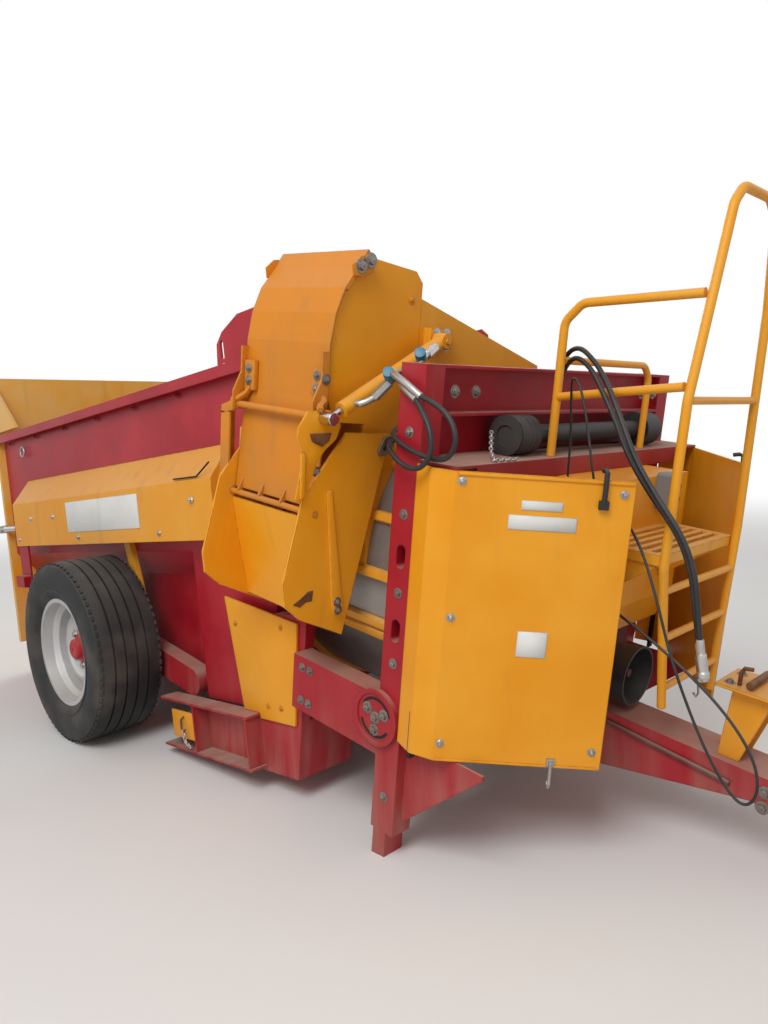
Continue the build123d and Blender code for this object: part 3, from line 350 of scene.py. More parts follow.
@dataclass(frozen=True)
class Paint:
    """Sprayed sheet steel that has stood outdoors.

    rust and dust go from 0, none, to 1, all over, and chips is how many there are along a metre. band gives a
    direction, and where along it rust starts and is full, on upward faces alone where crown is set.
    """

    name: str
    colour: Point
    faded: Point
    rust: float = 0.1
    dust: float = 0.3
    roughness: float = 0.38
    metal: float = 0.0
    wear: float = 0.55
    chips: float = 26.0
    grime: float = 0.20
    band: tuple[Point, float, float] | None = None
    crown: bool = False
    gloss: float = 0.28

    def rusted(self, shade: Shade, patchy: Value, worn: Value) -> Value:
        """Find where rust shows: in patches, along edges and in the band.

        Args:
            shade: The finish's graph.
            patchy: The noise that breaks it up.
            worn: The wear of the edges.

        Returns:
            The rust, 0 to 1.
        """
        level = 0.80 - 0.36 * self.rust
        edge = (worn * 3.2 * self.wear * patchy.ramp(0.40, 0.58)).clamp()
        rust = (patchy.ramp(level - 0.035, level + 0.03) + edge).clamp()
        if self.band:
            direction, start, full = self.band
            reach = shade.along(direction).ramp(start, full)
            if self.crown:
                reach = reach * shade.facing(UP).ramp(0.3, 0.7)
            rust = (rust + reach * patchy.ramp(0.62, 0.44)).clamp()
        return rust

    def dusted(self, shade: Shade, cloud: Value, blotch: Value, streak: Value) -> Value:
        """Find where dust lies: on upward faces, and thrown up near the ground.

        Args:
            shade: The finish's graph.
            cloud: Its broadest noise.
            blotch: Its middle noise.
            streak: Its noise of runs down the sheet.

        Returns:
            The dust, 0 to 1.
        """
        lying = shade.facing(UP).ramp(0.25, 0.95) * (0.45 + 0.75 * blotch)
        thrown = shade.along(UP).ramp(0.75, 0.05) * streak.ramp(0.30, 0.75) * 0.55
        return ((lying + thrown) * self.dust + cloud.ramp(0.5, 0.8) * 0.12 * self.dust).clamp()

    def make(self) -> bpy.types.Material:
        """Build the material.

        Returns:
            Faded paint under grime, rust and dust.
        """
        shade = Shade(self.name)
        cloud = shade.noise(1.7, 3.0)
        blotch = shade.noise(7.0, 6.0, offset=3.1)
        grain = shade.noise(self.chips, 8.0, offset=7.7)
        streak = shade.noise(11.0, 5.0, stretch=RUN_DOWN, offset=1.3)
        worn, rounded = shade.edges(EDGE_REACH)
        rust = self.rusted(shade, blotch * 0.4 + grain * 0.6, worn)
        dust = self.dusted(shade, cloud, blotch, streak)
        dirty = tuple(0.35 * part + 0.6 * mud for part, mud in zip(self.colour, MUD))
        colour = shade.mix((cloud * 0.7 + blotch * 0.3).ramp(0.36, 0.66), self.colour, self.faded)
        colour = shade.mix((streak.ramp(0.54, 0.78) * self.grime).clamp(), colour, dirty)
        colour = shade.mix(rust, colour, shade.mix(grain.ramp(0.35, 0.65), RUST_DARK, RUST_LIGHT))
        rough = self.roughness + 0.16 * (blotch - 0.5) + 0.42 * rust + 0.38 * dust
        height = shade.noise(5.0, 2.0, offset=5.0) * 0.8 + grain * (0.10 + 0.5 * rust) + rust * -0.12
        others: Inputs = {"Specular IOR Level": self.gloss}
        if self.metal:
            others["Metallic"] = (self.metal * (1.0 - rust) * (1.0 - dust)).clamp()
        bump = {"Strength": 0.35, "Distance": 0.006, "Height": height, "Normal": rounded}
        return shade.surface(shade.mix(dust, colour, DUST), rough.clamp(), bump, others)


@dataclass(frozen=True)
class Rubber:
    """Tyre rubber, boots and hoses: dark, matt, and dusty where stones rub it."""

    name: str
    colour: Point = (0.012, 0.012, 0.013)
    dust: float = 0.35
    roughness: float = 0.72
    grain: float = 140.0

    def make(self) -> bpy.types.Material:
        """Build the material.

        Returns:
            Grained rubber under dust.
        """
        shade = Shade(self.name)
        cloud = shade.noise(4.0, 6.0)
        fine = shade.noise(self.grain, 4.0, offset=2.0)
        lying = shade.facing(UP).ramp(0.1, 1.0) * 0.35
        dust = ((cloud.ramp(0.42, 0.72) * 0.55 + lying) * (0.4 + fine) * self.dust).clamp()
        rough = (self.roughness + 0.2 * dust + 0.1 * (cloud - 0.5)).clamp()
        bump = {"Strength": 0.4, "Distance": 0.0015, "Height": fine}
        return shade.surface(shade.mix(dust, self.colour, STONE_DUST), rough, bump, {})


@dataclass(frozen=True)
class Clear:
    """Moulded lamp lens with ribs inside."""

    name: str
    colour: Point

    def make(self) -> bpy.types.Material:
        """Build the material.

        Returns:
            Ribbed, glossy plastic, with painted shade in the rib valleys.
        """
        shade = Shade(self.name)
        inputs = {"Vector": shade.place, "Scale": 60.0, "Distortion": 0.0}
        ribs = Value(shade, shade.node("ShaderNodeTexWave", inputs, bands_direction="Z").outputs[1])
        # painted shade and light: the lens colour drops to a third in the rib valleys and stays full on the
        # crests, following the bump
        rib_valley_shade = tuple(0.35 * part for part in self.colour)
        bump = {"Strength": 0.5, "Distance": 0.001, "Height": ribs}
        colour = shade.mix(ribs.ramp(0.1, 0.9), rib_valley_shade, self.colour)
        return shade.surface(colour, 0.12 + 0.25 * shade.noise(30.0), bump, {"Coat Weight": 0.5})


RED_DEEP = (0.34, 0.006, 0.016)
RED_FADED = (0.45, 0.020, 0.032)
YELLOW = (0.80, 0.300, 0.006)
YELLOW_FADED = (0.84, 0.36, 0.020)
ORANGE = (0.80, 0.32, 0.008)


class Finish(Enum):
    """Every finish on the machine."""

    RED = Paint("red_sheet", RED_DEEP, RED_FADED, rust=0.10, dust=0.20)
    RED_DUSTY = Paint(
        "red_dusty", (0.33, 0.012, 0.018), (0.38, 0.05, 0.045), rust=0.24, dust=0.75, roughness=0.5)
    RED_BEAM = Paint("red_beam", RED_DEEP, (0.40, 0.016, 0.026), rust=0.22, dust=0.62, roughness=0.42)
    YELLOW = Paint(
        "yellow_sheet", YELLOW, YELLOW_FADED, rust=0.06, dust=0.09, roughness=0.36, wear=0.5, grime=0.12)
    YELLOW_WORN = Paint(
        "yellow_worn", (0.78, 0.31, 0.010), (0.80, 0.36, 0.035), rust=0.22, dust=0.30, wear=0.9, grime=0.3)
    YELLOW_SKIN = Paint(
        "yellow_skin", (0.66, 0.220, 0.008), (0.56, 0.21, 0.025), rust=0.15, dust=0.20, roughness=0.46,
        wear=0.8, grime=0.3)
    YELLOW_TUBE = Paint("yellow_tube", ORANGE, (0.80, 0.36, 0.03), rust=0.22, dust=0.20, chips=60.0)
    YELLOW_HOOD = Paint(
        "yellow_hood", (0.80, 0.32, 0.010), (0.80, 0.37, 0.03), rust=0.20, dust=0.25, wear=1.0,
        band=(UP, 1.2, 1.9), crown=True)
    YELLOW_GATE = Paint(
        "yellow_gate", (0.82, 0.36, 0.02), (0.80, 0.45, 0.12), rust=0.22, dust=0.35, wear=0.9,
        band=((0.08, 0.0, 0.997), 2.02, 2.28))
    FLAP = Paint(
        "yellow_flap", (0.82, 0.315, 0.007), (0.84, 0.36, 0.018), rust=0.17, dust=0.12, wear=0.9, grime=0.2)
    DRUM = Paint(
        "bare_drum_steel", (0.24, 0.225, 0.21), (0.36, 0.34, 0.31), rust=0.30, dust=0.45, roughness=0.42,
        metal=0.55)
    STEEL = Paint(
        "worn_steel", (0.32, 0.30, 0.28), (0.22, 0.19, 0.17), rust=0.42, dust=0.25, metal=0.85, chips=70.0)
    ZINC = Paint(
        "zinc_plated", (0.55, 0.54, 0.52), (0.42, 0.41, 0.38), rust=0.08, dust=0.25, roughness=0.30,
        metal=0.9, chips=90.0)
    CHROME = Paint(
        "chromed_rod", (0.62, 0.62, 0.63), (0.55, 0.55, 0.56), rust=0.06, dust=0.06, roughness=0.14,
        metal=1.0, wear=0.0)
    RIM = Paint(
        "silver_rim", (0.60, 0.60, 0.60), (0.50, 0.50, 0.49), rust=0.10, dust=0.35, roughness=0.36,
        metal=0.45)
    IRON = Paint(
        "painted_iron", (0.10, 0.012, 0.014), (0.14, 0.03, 0.03), rust=0.40, dust=0.5, roughness=0.55)
    RUSTY = Paint(
        "rusted_plate", (0.20, 0.085, 0.035), (0.13, 0.055, 0.025), rust=0.75, dust=0.2, roughness=0.7)
    PLATE = Paint(
        "blank_plate", (0.78, 0.77, 0.74), (0.68, 0.67, 0.63), rust=0.02, dust=0.2, roughness=0.4, wear=0.1)
    TYRE = Rubber("tyre_rubber_dusty", dust=0.55)
    HOSE = Rubber("black_hose", colour=(0.010, 0.010, 0.011), dust=0.18, roughness=0.5, grain=400.0)
    BOOT = Rubber("black_boot", colour=(0.014, 0.014, 0.015), dust=0.30, roughness=0.55)
    GREY = Rubber("grey_sleeve", colour=(0.20, 0.20, 0.20), dust=0.5, roughness=0.6)
    CAP = Rubber("blue_cap", colour=(0.01, 0.16, 0.26), dust=0.1, roughness=0.4)
    # painted shade: a near-black, matt finish for thin sheets set in seams, slots and slits, standing in for
    # the shade inside them
    GAP_SHADE = Rubber("painted_gap_shade", colour=(0.006, 0.004, 0.004), dust=0.1, roughness=0.9)
    LENS_RED = Clear("red_lens", (0.55, 0.008, 0.008))
    LENS_AMBER = Clear("amber_lens", (0.75, 0.20, 0.01))

    def material(self) -> bpy.types.Material:
        """Give this finish's material, made on first use."""
        return bpy.data.materials.get(self.value.name) or self.value.make()


def shown(name: str, data: bpy.types.ID) -> Object:
    """Put an object in the scene.

    Args:
        name: Its name.
        data: Its mesh, curve, camera or light.

    Returns:
        The object.
    """
    piece = bpy.data.objects.new(name, data)
    bpy.context.scene.collection.objects.link(piece)
    return piece


def evaluated(piece: Object) -> bpy.types.Mesh:
    """Give a curve or a modified mesh as a plain mesh of its own."""
    bpy.context.view_layer.update()
    return bpy.data.meshes.new_from_object(piece.evaluated_get(bpy.context.evaluated_depsgraph_get()))


def fit(piece: Object, body: str) -> Object:
    """Fix a piece to its body.

    Args:
        piece: The piece.
        body: The body that it rides on.

    Returns:
        The piece.
    """
    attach(piece, body)
    LOG.info("%s rides on %s", piece.name, body)
    return piece


WELD = 1e-6
SHARP = 0.6


@dataclass
class Blank:
    """One piece in the making, drawn level; a sign of -1 turns an outboard drawing to the right-hand side."""

    name: str
    finish: Finish
    slot: Slot
    pitch: Pitch
    sign: float = 1.0
    body: str = "root"
    mesh: bmesh.types.BMesh = field(default_factory=bmesh.new)

    def sided(self, x: float, y: float, z: float) -> Point:
        """Put a point on the piece's side."""
        return x, self.sign * y, z

    def loft(self, rings: Sequence[Sequence[Sequence[float]]], closed: bool = False) -> "Blank":
        """Join rings of corners into a solid.

        Args:
            rings: Rings of points that are on the piece's side already.
            closed: Whether the last ring joins the first; otherwise both ends are capped.

        Returns:
            This piece.
        """
        made = [[self.mesh.verts.new(self.pitch.place(*spot)) for spot in ring] for ring in rings]
        if not closed:
            self.mesh.faces.new(made[0])
            self.mesh.faces.new(made[-1])
        for low, high in zip(made, made[1:] + (made[:1] if closed else [])):
            for i, corner in enumerate(low):
                j = (i + 1) % len(low)
                self.mesh.faces.new((corner, low[j], high[j], high[i]))
        return self

    def prism(self, plane: Plane, outline: Sequence[Flat], start: float, end: float) -> "Blank":
        """Raise an outline in a plane into a solid, from start to end along the third axis."""
        ends = [[self.sided(*plane.spot(a, b, level)) for a, b in outline] for level in (start, end)]
        return self.loft(ends)

    def box(self, low: Point, high: Point) -> "Blank":
        """Add a box between two corners."""
        corners = [(low[0], low[1]), (high[0], low[1]), (high[0], high[1]), (low[0], high[1])]
        return self.prism(Plane.PLAN, corners, low[2], high[2])

    def tube(self, path: Sequence[Point], radius: float, sides: int = 16) -> "Blank":
        """Sweep a round bar along a path.

        Args:
            path: Its points.
            radius: Half its thickness.
            sides: Faces round it.

        Returns:
            This piece.
        """
        points = [Vector(self.sided(*spot)) for spot in path]
        across = (points[1] - points[0]).normalized().orthogonal().normalized()
        rings = []
        for before, spot, after in zip(points[:1] + points, points, points[1:] + points[-1:]):
            heading = (after - before).normalized()
            across = (across - heading * across.dot(heading)).normalized()
            up = heading.cross(across)
            rings.append([spot + radius * (across * math.cos(t) + up * math.sin(t)) for t in turns(sides)])
        return self.loft(rings)

    def lathe(self, profile: Sequence[Flat], centre: Point, plane: Plane, steps: int) -> "Blank":
        """Turn a closed profile about a plane's third axis.

        Args:
            profile: Radius and distance along the axis.
            centre: Where the axis starts.
            plane: The plane that it turns in.
            steps: Faces round it.

        Returns:
            This piece.
        """
        rings = []
        for turn in turns(steps):
            cosine, sine = math.cos(turn), math.sin(turn)
            spots = [plane.spot(radius * cosine, radius * sine, along) for radius, along in profile]
            rings.append([self.sided(*(a + b for a, b in zip(centre, spot))) for spot in spots])
        return self.loft(rings, closed=True)

    def finished(self, bevel: float = 1.2, smooth: float = 32.0) -> Object:
        """Close the piece and fit it to its body.

        Args:
            bevel: Width of the softened edges, 0 for none.
            smooth: Edges flatter than this many degrees are shaded smooth.

        Returns:
            The object.
        """
        bmesh.ops.remove_doubles(self.mesh, verts=self.mesh.verts, dist=WELD)
        bmesh.ops.recalc_face_normals(self.mesh, faces=self.mesh.faces)
        if bevel:
            sharp = [e for e in self.mesh.edges if len(e.link_faces) == 2 and e.calc_face_angle(0.0) > SHARP]
            bmesh.ops.bevel(
                self.mesh, geom=sharp, offset=bevel / METRE, segments=2, profile=0.6, affect="EDGES",
                clamp_overlap=True)
        for edge in self.mesh.edges:
            edge.smooth = edge.calc_face_angle(0.0) < math.radians(smooth)
        for face in self.mesh.faces:
            face.smooth = True
        data = bpy.data.meshes.new(self.name)
        self.mesh.to_mesh(data)
        self.mesh.free()
        data.materials.append(self.finish.material())
        return fit(shown(self.name, data), self.body)


SOCKET_KINDS = {float: "NodeSocketFloat", int: "NodeSocketInt", tuple: "NodeSocketVector"}


class Pattern(Graph):
    """A Geometry Nodes tree that repeats a small shape, with named inputs."""

    def __init__(self, name: str, **inputs: object) -> None:
        """Make the tree and its inputs.

        Args:
            name: The tree's name.
            **inputs: Input name to default value; the material has an input too.
        """
        super().__init__(bpy.data.node_groups.new(name, "GeometryNodeTree"))
        kinds = {label: SOCKET_KINDS[type(default)] for label, default in inputs.items()}
        kinds = {"Geometry": "NodeSocketGeometry", **kinds, "Material": "NodeSocketMaterial"}
        for label, kind in kinds.items():
            socket = self.tree.interface.new_socket(label, in_out="INPUT", socket_type=kind)
            if label in inputs:
                socket.default_value = inputs[label]
        self.tree.interface.new_socket("Geometry", in_out="OUTPUT", socket_type="NodeSocketGeometry")
        self.given = self.node("NodeGroupInput")

    def input(self, label: str) -> Value:
        """Give one of the tree's inputs."""
        return Value(self, self.given.outputs[label])

    def turned(self, axis: str, direction: Socket) -> Socket:
        """Turn an axis along a direction."""
        return self.node("FunctionNodeAlignRotationToVector", {"Vector": direction}, axis=axis).outputs[0]

    def seed_axis(self, axis: str) -> Socket:
        """Turn an axis along the direction of each seed."""
        named = self.node("GeometryNodeInputNamedAttribute", {"Name": "axis"}, data_type="FLOAT_VECTOR")
        return self.turned(axis, named.outputs[0])

    def moved(self, shape: Socket, **changes: object) -> Socket:
        """Move, turn or scale a shape."""
        return self.node("GeometryNodeTransform", {"Geometry": shape, **changes}).outputs[0]

    def copies(self, points: object, shape: Socket, rotation: Socket) -> Socket:
        """Set a turned copy of a shape on each point."""
        inputs = {"Points": points, "Instance": shape, "Rotation": rotation}
        return self.node("GeometryNodeInstanceOnPoints", inputs).outputs[0]

    def close(self, instances: Socket) -> None:
        """Realize the instances, set their material and end the tree.

        Args:
            instances: What the tree has made.
        """
        real = self.node("GeometryNodeRealizeInstances", {"Geometry": instances}).outputs[0]
        painted = self.node("GeometryNodeSetMaterial", {"Geometry": real, "Material": self.input("Material")})
        self.node("NodeGroupOutput", {0: painted.outputs[0]})

    def run(self, name: str, body: str, slot: Slot, seeds: Iterable[Seed], **values: object) -> Object:
        """Run the tree on seed points and keep its result as a plain mesh.

        Args:
            name: The piece's name.
            body: The body that it rides on.
            slot: The record's material slot; not used.
            seeds: Each point, and the direction that its copy stands along.
            **values: What the inputs are set to.

        Returns:
            The piece.
        """
        seeds = list(seeds)
        points = bpy.data.meshes.new(name + "_seeds")
        points.from_pydata([tuple(spot) for spot, _ in seeds], [], [])
        axis = points.attributes.new("axis", "FLOAT_VECTOR", "POINT")
        for item, (_, direction) in zip(axis.data, seeds):
            item.vector = direction
        piece = shown(name, points)
        modifier = piece.modifiers.new("shape", "NODES")
        modifier.node_group = self.tree
        for socket in self.tree.interface.items_tree:
            if socket.item_type == "SOCKET" and socket.in_out == "INPUT" and socket.name in values:
                modifier[socket.identifier] = values[socket.name]
        plain = evaluated(piece)
        piece.modifiers.remove(modifier)
        piece.data = plain
        plain.name = name
        return fit(piece, body)


class Bolts(Pattern):
    """Hexagon bolts with washers, set on points, their radii as shares of the width across the flats."""

    head_share: ClassVar[float] = 0.577
    washer_share: ClassVar[float] = 0.95

    def __init__(self) -> None:
        """Build the tree once."""
        super().__init__("bolt_heads", Flats=0.024, Height=0.012)
        flats, height = self.input("Flats"), self.input("Height")
        thread = self.cylinder(10, 0.005, 0.008, height)
        head = self.cylinder(6, flats * self.head_share, height, height * 0.5)
        washer = self.cylinder(16, flats * self.washer_share, 0.003, 0.0)
        whole = self.node("GeometryNodeJoinGeometry")
        for part in (thread, head, washer):
            self.feed(whole.inputs[0], part)
        self.close(self.copies(self.input("Geometry"), whole.outputs[0], self.seed_axis("Z")))

    def cylinder(self, sides: int, radius: object, depth: object, lift: object) -> Socket:
        """Add a cylinder about z.

        Args:
            sides: Faces round it.
            radius: Its radius.
            depth: Its height.
            lift: How far its middle is raised.

        Returns:
            Its geometry.
        """
        made = self.node("GeometryNodeMeshCylinder", {"Vertices": sides, "Radius": radius, "Depth": depth})
        up = self.node("ShaderNodeCombineXYZ", {"Z": lift}).outputs[0]
        return self.moved(made.outputs["Mesh"], Translation=up)

    def drive(self, name: str, body: str, seeds: Iterable[Seed], flats: float, finish: Finish) -> Object:
        """Drive a bolt of so many millimetres across the flats at each seed."""
        values = {"Flats": flats / METRE, "Height": 0.5 * flats / METRE, "Material": finish.material()}
        return self.run(name, body, Slot.IRON, seeds, **values)


class Chains(Pattern):
    """Welded chain along a path."""

    link_pitch: ClassVar[float] = 17.0

    def __init__(self) -> None:
        """Build the tree once."""
        super().__init__("chain_links", Wire=0.003, Link=0.011)
        circle = "GeometryNodeCurvePrimitiveCircle"
        loop = self.node(circle, {"Resolution": 12, "Radius": self.input("Link")}).outputs[0]
        wire = self.node(circle, {"Resolution": 6, "Radius": self.input("Wire")}).outputs[0]
        oval = self.moved(loop, Scale=(1.0, 0.62, 1.0))
        link = self.node("GeometryNodeCurveToMesh", {"Curve": oval, "Profile Curve": wire}).outputs[0]
        quarter = Value(self, self.node("GeometryNodeInputIndex").outputs[0]) * (math.pi / 2)
        roll = self.node("ShaderNodeCombineXYZ", {"X": quarter}).outputs[0]
        inputs = {"Rotation": self.seed_axis("X"), "Rotate By": roll}
        rolled = self.node("FunctionNodeRotateRotation", inputs, rotation_space="LOCAL").outputs[0]
        self.close(self.copies(self.input("Geometry"), link, rolled))

    def hang(self, name: str, path: Sequence[Vector]) -> Object:
        """Lay links along a path, one link pitch apart.

        Args:
            name: The piece's name.
            path: Its points, in metres.

        Returns:
            The chain.
        """
        seeds = []
        for start, end in zip(path, path[1:]):
            run = end - start
            count = max(2, round(run.length * METRE / self.link_pitch))
            seeds += [(start + run * (i / count), run.normalized()) for i in range(count)]
        return self.run(name, "root", Slot.IRON, seeds, Material=Finish.ZINC.material())


class Lugs(Pattern):
    """Shoulder blocks in a ring round a tyre's tread."""

    def __init__(self) -> None:
        """Build the tree once."""
        super().__init__("shoulder_lugs", Count=60, Radius=0.5, Size=(0.01,) * 3, Centre=(0.0, 0.0, 0.0))
        sizes = {"Vertices": self.input("Count"), "Radius": self.input("Radius")}
        ring = self.node("GeometryNodeMeshCircle", sizes).outputs[0]
        block = self.node("GeometryNodeMeshCube", {"Size": self.input("Size")}).outputs[0]
        outward = self.turned("X", self.node("GeometryNodeInputPosition").outputs[0])
        blocks = self.copies(ring, block, outward)
        self.close(self.moved(blocks, Rotation=(math.pi / 2, 0.0, 0.0), Translation=self.input("Centre")))


@dataclass
class Machine:
    """What every sub-assembly needs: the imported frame's nodes and the shared fasteners."""

    nodes: dict[str, Object]
    bolts: Bolts
    chains: Chains


@dataclass
class Assembly:
    """A sub-assembly: its pitch, the finishes of its CAD nodes, and the pieces that dress them."""

    machine: Machine
    pitch: ClassVar[Pitch] = LEVEL
    painted: ClassVar[dict[Finish, Sequence[str]]] = {}

    def build(self) -> None:
        """Paint the CAD nodes and dress them."""
        for finish, names in self.painted.items():
            for name in names:
                data = self.machine.nodes[name].data
                data.materials.clear()
                data.materials.append(finish.material())
                LOG.info("%s painted %s", name, finish.name)
        self.dress()

    def dress(self) -> None:
        """Make this sub-assembly's own pieces."""
        raise NotImplementedError

    def blank(self, name: str, finish: Finish, slot: Slot, sign: float = 1.0, body: str = "root") -> Blank:
        """Start a piece at this sub-assembly's pitch."""
        return Blank(name, finish, slot, self.pitch, sign, body)

    def bolt(
            self, name: str, spots: Iterable[Point], facing: Point, flats: float,
            finish: Finish = Finish.STEEL, sign: float = 1.0, body: str = "root") -> None:
        """Drive bolts.

        Args:
            name: The piece's name.
            spots: Where their heads sit on the level drawing.
            facing: Which way the heads look.
            flats: Width across the flats.
            finish: Their finish.
            sign: -1 to turn them to the right-hand side.
            body: The body that carries them.
        """
        x, y, z = facing
        heading = self.pitch.turn((x, sign * y, z))
        seeds = [(self.pitch.place(ahead, sign * out, up), heading) for ahead, out, up in spots]
        self.machine.bolts.drive(name, body, seeds, flats, finish)

    def chain(self, name: str, path: Sequence[Point], sign: float = 1.0) -> None:
        """Hang a chain along a path of the level drawing."""
        self.machine.chains.hang(name, [self.pitch.place(x, sign * y, z) for x, y, z in path])


@dataclass
class Wheels(Assembly):
    """Flotation tyres on deep silver rims."""

    centre_x: float = -2277.0
    axle_z: float = 520.0
    inner: float = 860.0
    outer: float = 1245.0
    tread: float = 520.0
    bead: float = 298.5
    grooves: int = 4
    groove_depth: float = 16.0
    land_gap: float = 6.0
    nut_count: int = 8
    nut_circle: float = 100.0
    nut_seat: float = 53.0
    lug_count: int = 72
    lug_offset: float = 168.0
    lug_depth: float = 19.0
    lug_size: Point = (0.026, 0.024, 0.013)

    def tyre_profile(self) -> list[Flat]:
        """Draw the section of the tyre.

        Returns:
            Radius and place across it.
        """
        half = (self.outer - self.inner) / 2
        flat = half - 34
        step = 2 * flat / (self.grooves + 1)
        floor = self.tread - self.groove_depth
        crown: list[Flat] = []
        for i in range(self.grooves + 1):
            start = i * step - flat
            for place in (start + self.land_gap, start + step - self.land_gap):
                crown.append((self.tread - 1.5 - 7 * (place / half) ** 2, place))
            if i < self.grooves:
                crown += [(floor, start + step - 4), (floor, start + step + 4)]
        shoulder = [(self.tread - 22, half - 12), (self.tread - 60, half - 2), (self.tread - 120, half)]
        wall = shoulder + [(self.bead + up, half - back) for up, back in (
            (62, 8), (58, 4), (48, 5), (24, 20), (4, 34), (-3, 44))]
        return mirrored(wall) + crown + wall

    def rim_profile(self) -> list[Flat]:
        """Draw the section of the rim, open towards the outside.

        Returns:
            Radius and place across it.
        """
        lip = (self.outer - self.inner) / 2 - 30
        seat = [(self.bead + up, lip - back) for up, back in (
            (12, 0), (12, 10), (-6, 12), (-14, 60), (-40, 80))]
        well = [(self.bead + up, lip - back) for up, back in ((-50, 84), (-24, 58), (-14, 0))]
        disc = [
            (self.bead - 50, 0), (212, 12), (190, 46), (168, 52), (150, 40), (118, 40), (70, 40), (70, 52),
            (118, 53), (148, 53), (168, 66), (196, 60), (222, 26), (self.bead - 50, 26)]
        return seat + mirrored(seat) + mirrored(well) + disc + well

    def dress(self) -> None:
        """Make both wheels."""
        lugs = Lugs()
        middle = (self.inner + self.outer) / 2
        centre = (self.centre_x, middle, self.axle_z)
        hub_profile = [(8, 30), (84, 30), (84, 58), (60, 66), (58, 96), (46, 104), (8, 104)]
        ring = circle(self.nut_circle, self.centre_x, self.axle_z, turns(self.nut_count))
        nuts = [(x, middle + self.nut_seat, z) for x, z in ring]
        for side, sign in SIDES:
            body = f"wheel_{side}"
            tyre = self.blank(f"tread_tyre_{side}", Finish.TYRE, Slot.RUBBER, sign, body)
            tyre.lathe(self.tyre_profile(), centre, Plane.ELEVATION, 96)
            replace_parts(tyre.finished(bevel=0.0, smooth=40), f"tyre_{side}")
            rim = self.blank(f"deep_rim_{side}", Finish.RIM, Slot.RIM, sign, body)
            rim.lathe(self.rim_profile(), centre, Plane.ELEVATION, 72)
            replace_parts(rim.finished(bevel=0.0, smooth=35), f"rim_{side}")
            hub = self.blank(f"hub_{side}", Finish.RED, Slot.RIM, sign, body)
            hub.lathe(hub_profile, centre, Plane.ELEVATION, 40).finished(bevel=2.0)
            self.bolt(f"wheel_nuts_{side}", nuts, OUTBOARD, 27, Finish.ZINC, sign, body)
            for edge, offset in (("out", self.lug_offset), ("in", -self.lug_offset)):
                lugs.run(
                    f"tread_lugs_{side}_{edge}", body, Slot.RUBBER, [(Vector(), Vector(UP))],
                    Count=self.lug_count, Radius=(self.tread - self.lug_depth) / METRE, Size=self.lug_size,
                    Centre=self.pitch.place(self.centre_x, sign * middle + offset, self.axle_z),
                    Material=Finish.TYRE.material())


